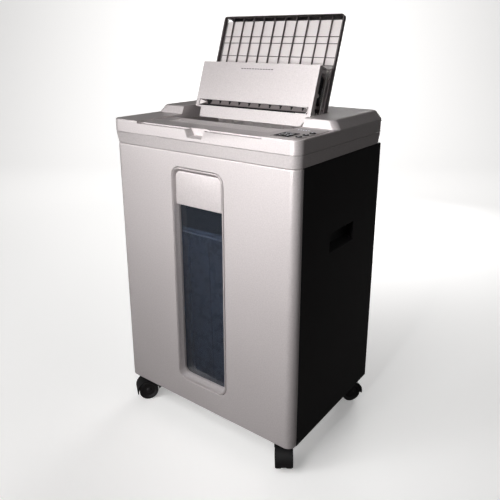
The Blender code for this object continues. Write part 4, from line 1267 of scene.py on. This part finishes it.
# ---------------------------------------------------------------- deck
@dataclass
class Deck:
    """Lacquered head cover: collar, flat deck, raised block, lid bay and feed well."""

    corner: float = 0.016
    top_edge: float = 0.0022
    collar_half: tuple[Point2, Point2] = ((0.2000, 0.1450), (0.2025, 0.1475))
    cover_half: Point2 = (0.2025, 0.1475)
    cover_z: Span = (0.5714, 0.5945)
    cavity_z: Span = (0.580, 0.605)
    cavity_x: float = 0.1985
    block_foot: Triple = (0.2023, -0.0310, 0.1473)
    block_top: Triple = (0.1905, -0.0245, 0.1455)
    block_z: Span = (0.5945, 0.6090)
    block_radius: float = 0.012
    block_edge: float = 0.0020
    bay_half: float = 0.1365
    ledge_z: float = 0.5900
    frame_z: float = 0.5915
    frame_y: float = -0.1380
    well_y: Span = (-0.0500, 0.0600)
    pocket_half: float = 0.1140
    pocket_y: float = -0.0985
    pocket_z: float = 0.5880
    notch_half: Span = (0.0155, 0.0250)
    notch_y: Span = (-0.1520, -0.1335)
    notch_z: Span = (0.5765, 0.5960)
    clear_z: float = 0.620
    cavity_top: float = 0.585
    cavity_sharp: float = 0.0002
    cavity_bend: float = 0.012
    panel_gap: float = 0.0005
    panel_corner: float = 0.0042
    panel_z: float = 0.5922
    key_hole: float = 0.0055
    seam_y: Span = (0.0135, 0.0300)
    seam_wide: float = 0.0013
    trough_ribs: int = 11

    def build(self) -> None:
        """Build and dress the whole deck."""
        self.collar()
        self.cover()
        self.tray()
        self.well()
        self.pins()

    def collar(self) -> None:
        """Build the flared band between the cabinet and the cover."""
        z = spans("deck_collar")[2]
        rings = []
        for height, inset in ((z[0], 0.0005), (z[0] + 0.0005, 0.0), (z[1] - 0.0006, 0.0),
                              (z[1], 0.0006)):
            part = (height - z[0]) / (z[1] - z[0])
            half = [low + (high - low) * part for low, high in zip(*self.collar_half)]
            plan = inset_outline((-half[0], half[0]), (-half[1], half[1]), (self.corner,) * 4,
                                 inset, 14)
            rings.append(on_axis("Z", height, plan))
        band = make("deck_band", loft(rings))
        carve(band, [solid("hollow", (-0.190, 0.190), (-0.135, 0.135), (z[0] - 0.01, z[1] + 0.01))])
        hand_over(band, SILVER, Body.CABINET, ["deck_collar"])

    def block(self) -> Obj:
        """Build the raised block with sloped sides.

        Returns:
            The block, before the lid bay is cut from it.
        """
        base, crown = self.block_z
        rings = []
        for z, inset in ((base - 0.004, 0.0), (base, 0.0), (crown - self.block_edge, 0.0),
                         (crown - self.block_edge * 0.5, self.block_edge * 0.2),
                         (crown - self.block_edge * 0.15, self.block_edge * 0.55),
                         (crown, self.block_edge * 1.2)):
            part = max(0.0, (z - base) / (crown - base))
            pairs = zip(self.block_foot, self.block_top)
            half, front, back = (foot + (top - foot) * part for foot, top in pairs)
            plan = inset_outline((-half, half), (front, back), (self.block_radius,) * 4, inset, 12)
            rings.append(on_axis("Z", z, plan))
        return make("block", loft(rings))

    def cover(self) -> None:
        """Build the cover: flat deck and block as one moulding, then the cuts."""
        half, z = self.cover_half, self.cover_z
        bm = slab("Z", (-half[0], half[0]), (-half[1], half[1]), (self.corner,) * 4, z,
                  (0.0006, self.top_edge), 14)
        cover = make("deck_shell", bm)
        carve(cover, [self.block()], "UNION")
        front, low, top = -half[1] - 0.01, z[0] - 0.01, self.clear_z
        steps = ((front, self.ledge_z), (self.frame_y, self.ledge_z), (self.frame_y, self.frame_z),
                 (self.well_y[0], self.frame_z), (self.well_y[0], low), (self.well_y[1], low),
                 (self.well_y[1], top), (front, top))
        tools = [extruded("bay", "X", list(steps), (-self.bay_half, self.bay_half)),
                 solid("pocket", (-self.pocket_half, self.pocket_half),
                       (self.pocket_y, self.well_y[0] + 0.01), (self.pocket_z, top))]
        foot, head = self.notch_half
        rings = []
        for y, shrink in ((self.notch_y[0], 0.0), (-0.1475, 0.0), (-0.1440, 0.0022),
                          (self.notch_y[1], 0.0034)):
            low_z, high_z = self.notch_z[0] + shrink, self.notch_z[1]
            rings.append([Vector(p) for p in ((shrink - foot, y, low_z), (foot - shrink, y, low_z),
                                              (head - shrink, y, high_z),
                                              (shrink - head, y, high_z))])
        tools.append(make("notch", loft(rings)))
        reach, sharp, bend = self.cavity_x, self.cavity_sharp, self.cavity_bend
        inner = outline((-reach, reach), (-0.128, 0.144), (sharp, sharp, bend, bend), 6)
        tools.append(extruded("cavity", "Z", inner, (low, self.cavity_top)))
        tools.append(solid("block_cavity", (-0.184, 0.184), (0.0635, 0.140), self.cavity_z))
        for side in (-1, 1):
            near, far = sorted((side * 0.1405, side * 0.184))
            tools.append(solid("pillar_cavity", (near, far), (-0.018, 0.0636), self.cavity_z))
            near, far = sorted((side * 0.045, side * reach))
            radii = (bend, sharp, sharp, sharp) if side < 0 else (sharp, bend, sharp, sharp)
            cheek = outline((near, far), (-0.144, -0.1279), radii, 6)
            tools.append(extruded("front_cavity", "Z", cheek, (low, self.cavity_top)))
        x, y, _ = spans("control_panel")
        plan = inset_outline(x, y, (self.panel_corner - self.panel_gap,) * 4, -self.panel_gap, 8)
        tools.append(extruded("panel_pocket", "Z", plan, (self.panel_z, top)))
        for node in ("button_power", "button_reverse", "button_forward"):
            bx, by, _ = spans(node)
            tools.append(extruded("hole", "Z", circle((mid(bx), mid(by)), self.key_hole, 28),
                                  (self.cavity_z[0], top)))
        carve(cover, tools)
        round_edges(cover, 0.0006, 2, math.radians(32.0))
        hand_over(cover, SILVER, Body.CABINET, ["deck_cover"])

    def tray(self) -> None:
        """Build the pale tray panel with the seams across it, and dark strips laid in the seams as
        painted shade.
        """
        x, y, z = spans("tray_panel")
        panel = make("feed_tray", slab("Z", x, y, (0.0015,) * 4, z, (0.0003, 0.0006), 4))
        seams = [solid("seam", (x[0] - 0.001, x[1] + 0.001),
                       (y[0] + dy, y[0] + dy + self.seam_wide), (z[1] - 0.0010, z[1] + 0.001))
                 for dy in self.seam_y]
        carve(panel, seams)
        round_edges(panel, 0.0002, 2)
        hand_over(panel, PALE, Body.CABINET, ["tray_panel"])
        # Dark strips in the seams are painted shade that darkens the grooves.
        lines = [solid("line", (x[0] + 0.001, x[1] - 0.001),
                       (y[0] + dy + 0.0002, y[0] + dy + 0.0011), (z[1] - 0.0008, z[1] - 0.0002))
                 for dy in self.seam_y]
        lines[0].name = "tray_seam_shade"
        hand_over(absorb(lines[0], lines[1:]), TAUPE, Body.CABINET)

    def well(self) -> None:
        """Build the feed well, with paper ribs on its floor and back wall, both in the pale
        plastic: paler than the well's own grey, as painted light in its deep shade.
        """
        x, y, z = spans("feed_well")
        # Pale instead of the well's grey: painted light that lifts the shade deep in the well.
        recast("feed_well", "feed_trough", 0.0006, PALE, Body.CABINET)
        back = y[1] - 0.0025
        rib = solid("trough_ribs", (x[0] + 0.020, x[0] + 0.0216), (back - 0.0016, back + 0.0005),
                    (0.5462, z[1] - 0.002), 0.0004)
        pitch = (x[1] - x[0] - 0.0416) / (self.trough_ribs - 1)
        Repeat(self.trough_ribs, (pitch, 0.0, 0.0)).apply(rib, PALE)
        hand_over(rib, PALE, Body.CABINET)

    def pins(self) -> None:
        """Round the two hinge pins."""
        for side in ("left", "right"):
            node = "hinge_pin_" + side
            x, y, z = spans(node)
            radius = (z[1] - z[0]) / 2.0
            profile = [(0.0, x[0]), (radius - 0.0005, x[0]), (radius, x[0] + 0.0005),
                       (radius, x[1] - 0.0005), (radius - 0.0005, x[1]), (0.0, x[1])]
            spot = Matrix.Translation((0.0, mid(y), mid(z))) @ ALONG_X
            hand_over(make("pivot_" + side, turned(profile, 28), spot), CHROME, Body.CABINET,
                      [node])


# ---------------------------------------------------------------- controls
@dataclass
class Controls:
    """Key panel at the right front of the deck: display, keys, marks and lamps."""

    mark_lift: float = 0.00012
    stroke: float = 0.0005
    key_arrow: float = 0.0034
    lamp_radius: float = 0.0009
    lamp_count: int = 5
    lamp_pitch: float = 0.0048

    def build(self) -> None:
        """Build and dress the whole key panel."""
        self.plate()
        self.display()
        self.keys()
        self.lamps()

    def plate(self) -> None:
        """Build the printed plate that the keys stand in."""
        recast("control_panel", "key_plate", 0.0004, PANEL_GREY, Body.CABINET)

    def arc(self, centre: Point2, radius: float, start: float, end: float, z: float) -> Obj:
        """Build a flat printed arc.

        Args:
            centre: Centre in X and Y.
            radius: Radius of its middle line.
            start: First angle in degrees.
            end: Last angle in degrees.
            z: Face that it is printed on.

        Returns:
            The arc.
        """
        half = self.stroke / 2.0
        turns = [math.radians(start + (end - start) * i / 20.0) for i in range(21)]
        outer, inner = [[(centre[0] + reach * math.cos(t), centre[1] + reach * math.sin(t))
                         for t in turns] for reach in (radius + half, radius - half)]
        return extruded("arc", "Z", outer + inner[::-1], around(z, self.mark_lift))

    def bar(self, x: Span, y: Span, z: float) -> Obj:
        """Build a flat printed bar."""
        return solid("bar", x, y, around(z, self.mark_lift))

    def arrow(self, tip: Point2, reach: float, z: float) -> Obj:
        """Build a flat printed triangle that points along Y.

        Args:
            tip: Its tip in X and Y.
            reach: Its length, below zero where it points to the front.
            z: Face that it is printed on.

        Returns:
            The triangle.
        """
        half = abs(reach) * 0.6
        points = [(tip[0] - half, tip[1] - reach), (tip[0] + half, tip[1] - reach), tip]
        if reach < 0.0:
            points.reverse()
        return extruded("arrow", "Z", points, around(z, self.mark_lift))

    def display(self) -> None:
        """Build the polished lens and the plain signs that light under it."""
        x, y, z = spans("display")
        lens = make("display_lens", slab("Z", x, y, (0.0016,) * 4, z, (0.0001, 0.0004), 6))
        hand_over(lens, LENS, Body.CABINET, ["display"])
        top = z[1]
        middle = (mid(x), mid(y))
        marks = [self.arc((middle[0] - 0.004, middle[1] - 0.007), 0.0046, 0.0, 300.0, top),
                 self.arc((middle[0] + 0.006, middle[1] + 0.006), 0.0034, 30.0, 330.0, top),
                 self.arrow((middle[0] + 0.0062, middle[1] - 0.0050), 0.0040, top),
                 self.arrow((middle[0] - 0.0052, middle[1] + 0.0042), -0.0036, top),
                 self.bar((x[0] + 0.003, x[1] - 0.003), (middle[1] - 0.0003, middle[1] + 0.0002),
                          top)]
        marks += [self.bar((x[0] + 0.004 + 0.0028 * i, x[0] + 0.0056 + 0.0028 * i),
                           (y[1] - 0.0052, y[1] - 0.0036), top) for i in range(5)]
        marks[0].name = "display_signs"
        hand_over(absorb(marks[0], marks[1:]), INK, Body.CABINET)

    def keys(self) -> None:
        """Build the three domed keys, each with its sign."""
        for node, body in (("button_power", Body.POWER_BUTTON),
                           ("button_reverse", Body.REVERSE_BUTTON),
                           ("button_forward", Body.FORWARD_BUTTON)):
            x, y, z = spans(node)
            spot = (mid(x), mid(y))
            radius = (x[1] - x[0]) / 2.0
            profile = [(0.0, z[0]), (radius, z[0]), (radius, z[1] - 0.0008),
                       (radius * 0.93, z[1] - 0.0003), (radius * 0.80, z[1] - 0.0001),
                       (radius * 0.45, z[1] - 0.0003), (0.0, z[1] - 0.0004)]
            key = make(node + "_cap", turned(profile, 40), Matrix.Translation((*spot, 0.0)))
            hand_over(key, BLACK, body, [node])
            top = z[1] - 0.0001
            if body is Body.POWER_BUTTON:
                signs = [self.arc(spot, 0.0022, 120.0, 420.0, top),
                         self.bar(around(spot[0], 0.0003), (spot[1] + 0.0006, spot[1] + 0.0028),
                                  top)]
            else:
                reach = self.key_arrow if body is Body.FORWARD_BUTTON else -self.key_arrow
                signs = [self.arrow((spot[0], spot[1] + reach / 2.0), reach, top)]
            signs[0].name = node + "_sign"
            hand_over(absorb(signs[0], signs[1:]), INK, body)

    def lamps(self) -> None:
        """Set a row of signal lamps behind the display, and short printed lines beside them."""
        x, y, z = spans("control_panel")
        radius = self.lamp_radius
        first = (x[0] + 0.0075, y[1] - 0.0180)
        profile = [(0.0, 0.0), (radius, 0.0), (radius * 0.85, radius * 0.35),
                   (radius * 0.5, radius * 0.55), (0.0, radius * 0.62)]
        lamp = make("signal_lamps", turned(profile, 16),
                    Matrix.Translation((*first, z[1] - 0.0001)))
        Repeat(self.lamp_count, (self.lamp_pitch, 0.0, 0.0)).apply(lamp, LAMP)
        hand_over(lamp, LAMP, Body.CABINET)
        line = self.bar(around(first[0], 0.0013), (first[1] + 0.0035, first[1] + 0.0041), z[1])
        line.name = "lamp_lines"
        Repeat(self.lamp_count, (self.lamp_pitch, 0.0, 0.0)).apply(line, INK)
        hand_over(line, INK, Body.CABINET)


# ---------------------------------------------------------------- lid
HINGE = Vector((0.0, 0.0460, 0.6000))
LID_OPEN = math.radians(109.0)
LID_PLACE = Matrix.Translation(HINGE) @ Matrix.Rotation(-LID_OPEN, 4, "X")


def lid_solid(name: str, x: Span, u: Span, w: Span, round_to: float = 0.0) -> Obj:
    """Build a box on the lid, drawn shut from the hinge: u runs forward and w up."""
    return solid(name, x, (-u[1], -u[0]), w, round_to)


def stand(obj: Obj, finish: Finish, body: Body, replaces: Sequence[str] = ()) -> Obj:
    """Swing a piece of the shut lid up to where the lid stands, and hand it over."""
    return hand_over(placed(obj, LID_PLACE), finish, body, replaces)


def lid_extruded(name: str, points: Outline, x: Span) -> Obj:
    """Build a straight piece across the lid from its (u, w) section."""
    return extruded(name, "X", [(-u, w) for u, w in points], x)


@dataclass
class Lid:
    """Standing lid: lacquered cover, taupe rim, pale pan and paper ribs."""

    half: float = 0.1350
    cover_u: Span = (-0.0060, 0.1852)
    cover_w: Span = (0.0050, 0.0074)
    cover_inset: float = 0.0012
    rim_u: Span = (0.0130, 0.1842)
    rim_half: float = 0.1326
    rim_front_w: float = -0.0034
    pan_x: Span = (-0.1270, 0.1322)
    pan_u: Span = (0.0146, 0.1768)
    pan_w: Span = (0.0020, 0.0042)
    window_w: Span = (0.0030, 0.0120)
    corner: float = 0.006
    rib_count: int = 10
    rib_pitch: float = 0.0247
    rib_thick: float = 0.0013
    rib_u: Span = (0.0926, 0.1850)
    rib_w: Span = (-0.0022, 0.0017)
    cross_u: tuple[float, ...] = (0.0934, 0.1080, 0.1333, 0.1460)
    box_ribs: int = 9
    box_rib_pitch: float = 0.0272
    spring_turns: int = 9
    spring_steps: int = 14
    spring_radius: float = 0.0026
    spring_spot: Triple = (0.1262, -0.050, -0.0130)
    spring_long: float = 0.026
    pivot_spot: Triple = (0.0, -0.0335, -0.0225)
    guide_x: Span = (0.1240, 0.1266)

    def build(self) -> None:
        """Build and dress the whole lid."""
        self.cover()
        self.rim()
        self.ribs()
        self.housing()
        self.linkage()

    def cover(self) -> None:
        """Build the outer skin of the lid."""
        half = self.half - self.cover_inset
        bm = slab("Z", (-half, half), (-self.cover_u[1], -self.cover_u[0]),
                  (self.corner, self.corner, 0.0010, 0.0010), self.cover_w, (0.0004, 0.0014), 8)
        skin = make("lid_skin", bm)
        carve(skin,
              [lid_solid("top_light", (-self.rim_half, self.rim_half),
                         (self.pan_u[1], self.rim_u[1] - 0.0012), self.window_w),
               lid_solid("side_light", (-self.rim_half + 0.0010, self.pan_x[0]),
                         (0.0950, self.rim_u[1] - 0.0012), self.window_w)])
        placed(skin, LID_PLACE)
        hand_over(skin, SILVER, Body.LID, ["lid_cover"])

    def rim(self) -> None:
        """Round the rim bars and the pan."""
        rim = placed(copied("lid_frame", "lid_rim", 0.0), LID_PLACE.inverted())
        carve(rim,
              [lid_solid("opening", (-self.rim_half, self.rim_half), self.rim_u, (-0.02, 0.02)),
               lid_solid("lowered", (-0.2, 0.2), (0.0860, 0.2), (-0.02, self.rim_front_w))])
        round_edges(rim, 0.0006)
        stand(rim, TAUPE, Body.LID, ["lid_frame"])
        pan = lid_solid("lid_pan", self.pan_x, self.pan_u, self.pan_w, 0.0004)
        stand(pan, PALE, Body.LID, ["lid_panel"])

    def ribs(self) -> None:
        """Set the row of paper ribs and the thin bars that cross them."""
        first = -self.rib_pitch * (self.rib_count - 1) / 2.0
        half = self.rib_thick / 2.0
        outline_uw = [(self.rib_u[0], self.rib_w[1]), (self.rib_u[0], self.rib_w[0] + 0.002),
                      (self.rib_u[0] + 0.003, self.rib_w[0]),
                      (self.rib_u[1] - 0.004, self.rib_w[0]),
                      (self.rib_u[1], self.rib_w[0] + 0.003), (self.rib_u[1], self.rib_w[1])]
        ribs = round_edges(lid_extruded("paper_ribs", outline_uw, (first - half, first + half)),
                           0.0004, 2)
        Repeat(self.rib_count, (self.rib_pitch, 0.0, 0.0)).apply(ribs, TAUPE)
        bars = [lid_solid("bar", self.pan_x, around(u, 0.0005), (-0.0002, 0.0017), 0.0002)
                for u in self.cross_u]
        stand(absorb(ribs, bars), TAUPE, Body.LID, ["rib_grid"])

    def housing(self) -> None:
        """Round the pale box that holds the plate's slide, and add its stiffening ribs."""
        recast("pressure_housing", "slide_box", 0.0009, PALE, Body.LID)
        rib = lid_solid("slide_box_ribs", (-0.1180, -0.1164), (0.0202, 0.0758), (-0.0250, -0.0048),
                        0.0004)
        Repeat(self.box_ribs, (self.box_rib_pitch, 0.0, 0.0)).apply(rib, PALE)
        stand(rib, PALE, Body.LID)

    def linkage(self) -> None:
        """Build the lever, its spring, pin, cap and guides at the open end of the box."""
        recast("plate_lever", "lift_lever", 0.0006, BLACK, Body.LID)
        steps, radius, path = self.spring_turns * self.spring_steps, self.spring_radius, []
        for i in range(steps + 1):
            angle = 2.0 * math.pi * i / self.spring_steps
            away = (radius * math.cos(angle), self.spring_long * i / steps,
                    radius * math.sin(angle))
            path.append(Vector(self.spring_spot) + Vector(away))
        hand_over(make("return_spring", tube(path, 0.0005, 8), LID_PLACE), CHROME, Body.LID)
        profile = [(0.0016, 0.1230), (0.0034, 0.1230), (0.0036, 0.1236), (0.0036, 0.1252),
                   (0.0030, 0.1258), (0.0016, 0.1258)]
        ring = make("pivot_ring", turned(profile + profile[:1], 32),
                    LID_PLACE @ Matrix.Translation(self.pivot_spot) @ ALONG_X)
        hand_over(ring, ACETAL, Body.LID)
        guides = []
        for base, apex in (((-0.0298, -0.0200), (-0.0262, 0.0080)),
                           ((-0.0180, -0.0100), (-0.0150, 0.0050))):
            section = [(-0.0052, base[0]), (-0.0052, base[1]), (apex[1], apex[0])]
            guides.append(round_edges(lid_extruded("guide", section, self.guide_x), 0.0003, 2))
        guides[0].name = "plate_guides"
        stand(absorb(guides[0], guides[1:]), ACETAL, Body.LID)
        sill = lid_solid("linkage_sill", (0.1135, 0.1284), (-0.0075, -0.0054), (-0.0300, -0.0086),
                         0.0006)
        stand(sill, CHARCOAL, Body.LID)
        shoulder = lid_solid("slide_box_shoulder", (0.1124, 0.1256), (0.0740, 0.0838),
                             (-0.0270, -0.0090), 0.0009)
        absorb(shoulder, [lid_solid("ledge", (-0.1262, 0.1310), (0.0862, 0.0920), (-0.0030, 0.0018),
                                    0.0004)])
        stand(shoulder, PALE, Body.LID)
        strip = lid_solid("slide_strip", (0.1268, 0.1284), (-0.0040, 0.0830), (-0.0098, -0.0064),
                          0.0004)
        stand(strip, ACETAL, Body.LID)


@dataclass
class PressureUnit:
    """Sprung plate that holds the stack of paper, with its comb and guide bar."""

    sheet_edge: float = 0.0008
    slot_y: float = -0.00225
    slot_radius: float = 0.0059
    slot_x: Span = (0.100, 0.1172)
    face: float = -0.0431
    peg_count: int = 10
    peg_pitch: float = 0.0231
    line_half: float = 0.036
    line_dashes: int = 12
    line_pitch: float = 0.0061

    def build(self) -> None:
        """Build and dress the whole unit."""
        recast("pressure_plate", "press_plate", self.sheet_edge, SILVER, Body.PLATE)
        self.comb()
        self.details()

    def comb(self) -> None:
        """Build the comb bar in the slot, and a row of black darts at its upper edge as painted
        shade.
        """
        section = [(-0.0002, -0.0392), (0.0010, -0.0404), (0.0098, -0.0404), (0.0098, -0.0345),
                   (-0.0002, -0.0345)]
        bar = round_edges(lid_extruded("comb_rail", section, (-0.1226, 0.1226)), 0.0003, 2)
        stand(bar, TAUPE, Body.PLATE, ["comb_bar"])
        first = -0.1217 + self.peg_pitch + 0.0022
        dart = [(first - 0.0040, -0.0096), (first + 0.0036, -0.0096), (first + 0.0026, -0.0058),
                (first + 0.0010, -0.0018), (first - 0.0012, -0.0018), (first - 0.0016, -0.0052)]
        # The darts are painted shade: matt black where the comb's upper edge falls dark.
        darts = extruded("comb_shade_darts", "Z", dart, (-0.04075, -0.0396))
        Repeat(self.peg_count, (self.peg_pitch, 0.0, 0.0)).apply(darts, GAP_SHADE)
        stand(darts, GAP_SHADE, Body.PLATE)

    def details(self) -> None:
        """Add the deflector, a black strip under the comb and a black wedge beside the deflector as
        painted shade, the slot's lip and the printed line.
        """
        wedge = extruded("slot_deflector", "Z", [(-0.1228, -0.0078), (-0.1060, -0.0030),
                                                 (-0.1228, 0.0030)], (-0.0424, -0.0408))
        stand(round_edges(wedge, 0.0004, 2), PALE, Body.PLATE)
        # The strip under the comb and the wedge beside the deflector are painted shade in matt
        # black.
        strip = lid_solid("slot_shade_strip", (-0.1240, 0.1240), (-0.0050, -0.0004), (-0.0403, -0.0385),
                          0.0003)
        slot_shadow = extruded("slot_shadow", "Z", [(-0.1085, -0.0080), (-0.0985, -0.0080), (-0.0965, 0.0030),
                                        (-0.1010, 0.0030), (-0.1040, -0.0030)], (-0.0410, -0.0400))
        stand(absorb(strip, [slot_shadow]), GAP_SHADE, Body.PLATE)
        y, radius, (start, bend) = self.slot_y, self.slot_radius, self.slot_x
        turns = [math.radians(90.0 - 15.0 * i) for i in range(13)]
        points = [(start, y + radius)] + [(bend + radius * math.cos(t), y + radius * math.sin(t))
                                          for t in turns]
        path = on_axis("Z", self.face, points + [(start, y - radius)])
        hand_over(make("slot_lip", tube(path, 0.0007, 8), LID_PLACE), SILVER, Body.PLATE)
        line = lid_solid("plate_line", (-self.line_half, 0.0048 - self.line_half), (0.0700, 0.0714),
                         (-0.04350, -0.04310))
        Repeat(self.line_dashes, (self.line_pitch, 0.0, 0.0)).apply(line, CHARCOAL)
        stand(line, CHARCOAL, Body.PLATE)


# ---------------------------------------------------------------- castors
@dataclass
class Castor:
    """One swivel castor: plate with stem, moulded hood and twin wheel."""

    place: str
    yaw: float
    trail: float = 0.0240
    radius: float = 0.0200
    inner: float = 0.0042
    outer: float = 0.0155
    bore: float = 0.0034

    def build(self) -> None:
        """Build and dress the castor."""
        place = self.place
        x, y, _ = spans("castor_plate_" + place)
        spot = Vector((mid(x), mid(y), 0.0))
        recast("castor_plate_" + place, "castor_flange_" + place, 0.0004, ZINC, Body.CABINET,
               2)
        recast("castor_hood_" + place, "castor_cover_" + place, 0.0011, BLACK, "castor_" + place,
               4)
        centre = Matrix.Rotation(self.yaw, 3, "Z") @ Vector((self.trail, 0.0, self.radius)) + spot
        turn = Matrix.Rotation(self.yaw, 4, "Z") @ Matrix.Rotation(math.radians(-90.0), 4, "X")
        wheel = make("castor_roller_" + place, turned(self.profile(), 56),
                     Matrix.Translation(centre) @ turn)
        hand_over(wheel, NYLON, "wheel_" + place, ["castor_wheel_" + place])

    def profile(self) -> list[Point2]:
        """Draw the twin wheel's section: hub cap, dished face, tread and inner face.

        Returns:
            Radius and height of each point, from one side to the other.
        """
        r, out, near = self.radius, self.outer, self.inner
        half = [(0.0, out - 0.0006), (0.0042, out - 0.0006), (0.0050, out - 0.0014),
                (0.0062, out - 0.0030), (0.0130, out - 0.0030), (0.0148, out - 0.0012),
                (0.0165, out - 0.0002), (r - 0.0016, out), (r - 0.0004, out - 0.0009),
                (r, out - 0.0026), (r, near + 0.0016), (r - 0.0006, near + 0.0004),
                (r - 0.0016, near), (self.bore, near)]
        return half + [(radius, -height) for radius, height in reversed(half)]


# ---------------------------------------------------------------- studio
@dataclass
class Studio:
    """Pale floor, soft lights and the camera."""

    camera_at: Triple = (0.6164, -0.8198, 0.7354)
    camera_pitch: float = 16.72
    camera_yaw: float = 36.717
    sensor: float = 36.0
    focal: float = 1.1116
    shift: float = -0.09
    sky: float = 0.14
    floor_y: Span = (-6.0, 2.2)
    floor_half: float = 7.0
    sweep_radius: float = 1.2
    sweep_top: float = 6.0
    floor_turn: float = 36.0

    def build(self) -> None:
        """Build the stage."""
        self.floor()
        self.lights()
        self.camera()

    def floor(self) -> None:
        """Lay a pale floor that sweeps up behind the object."""
        bm = bmesh.new()
        (front, back), half = self.floor_y, self.floor_half
        profile = [(front, 0.0), (back, 0.0)]
        for angle in (math.radians(9.0 * i) for i in range(1, 11)):
            profile.append((back + self.sweep_radius * math.sin(angle),
                            self.sweep_radius * (1.0 - math.cos(angle))))
        profile.append((back + self.sweep_radius, self.sweep_top))
        rows = [[bm.verts.new((x, y, z)) for y, z in profile] for x in (-half, half)]
        for i in range(len(profile) - 1):
            bm.faces.new((rows[0][i], rows[1][i], rows[1][i + 1], rows[0][i + 1]))
        sweep = make("studio_floor", bm, Matrix.Rotation(math.radians(self.floor_turn), 4, "Z"))
        sweep.data.materials.append(FLOOR.material())

    def light(self, name: str, at: Sequence[float], aim: Sequence[float], size: Point2,
              watts: float, spread: float) -> None:
        """Hang a soft rectangular light.

        Args:
            name: Light name.
            at: Where it hangs.
            aim: Point it faces.
            size: Width and height.
            watts: Power.
            spread: Angle of its cone in degrees.
        """
        data = bpy.data.lights.new(name, "AREA")
        data.shape = "RECTANGLE"
        data.size, data.size_y = size
        data.energy = watts
        data.spread = math.radians(spread)
        obj = bpy.data.objects.new(name, data)
        obj.location = at
        obj.rotation_euler = (Vector(aim) - Vector(at)).to_track_quat("-Z", "Y").to_euler()
        obj.visible_camera = False
        bpy.context.scene.collection.objects.link(obj)

    def lights(self) -> None:
        """Light the front softly from the left, the deck from above and the sweep behind."""
        self.light("key", (0.12, -1.00, 0.70), (0.17, -0.14, 0.51), (0.35, 0.25), 2.0, 74.0)
        self.light("fill", (-1.15, -1.50, 0.75), (-0.1, -0.14, 0.20), (0.8, 0.8), 5.3, 120.0)
        self.light("top", (-0.40, -1.15, 1.60), (-0.08, -0.14, 0.35), (0.5, 0.5), 2.8, 110.0)
        self.light("back", (-0.75, 1.03, 2.2), (-1.6, 2.2, 0.9), (2.4, 0.8), 50.0, 160.0)
        self.light("rear", (-0.4, 1.9, 0.45), (0.0, 0.1, 0.40), (0.9, 0.5), 8.0, 90.0)
        world = bpy.data.worlds.new("studio")
        world.use_nodes = True
        background = world.node_tree.nodes["Background"]
        background.inputs["Color"].default_value = linear("ffffff")
        background.inputs["Strength"].default_value = self.sky
        bpy.context.scene.world = world
        bpy.context.scene.view_settings.view_transform = "Standard"

    def camera(self) -> None:
        """Stand the camera at the front right, a little above the deck."""
        data = bpy.data.cameras.new("camera")
        data.sensor_width = self.sensor
        data.lens = self.focal * self.sensor
        data.shift_y = self.shift
        obj = bpy.data.objects.new("camera", data)
        obj.location = self.camera_at
        obj.rotation_euler = (math.radians(90.0 - self.camera_pitch), 0.0,
                              math.radians(self.camera_yaw))
        bpy.context.scene.collection.objects.link(obj)
        bpy.context.scene.camera = obj


def main() -> None:
    logging.basicConfig(level=logging.INFO, format="%(message)s")
    Studio().build()
    Cabinet().build()
    Drawer().build()
    Head().build()
    Deck().build()
    Controls().build()
    Lid().build()
    PressureUnit().build()
    for place, yaw in (("front_left", 234.0), ("front_right", -54.0), ("back_left", 126.0),
                       ("back_right", 54.0)):
        Castor(place, math.radians(yaw)).build()
    bpy.context.view_layer.update()


if __name__ == "__main__":
    main()
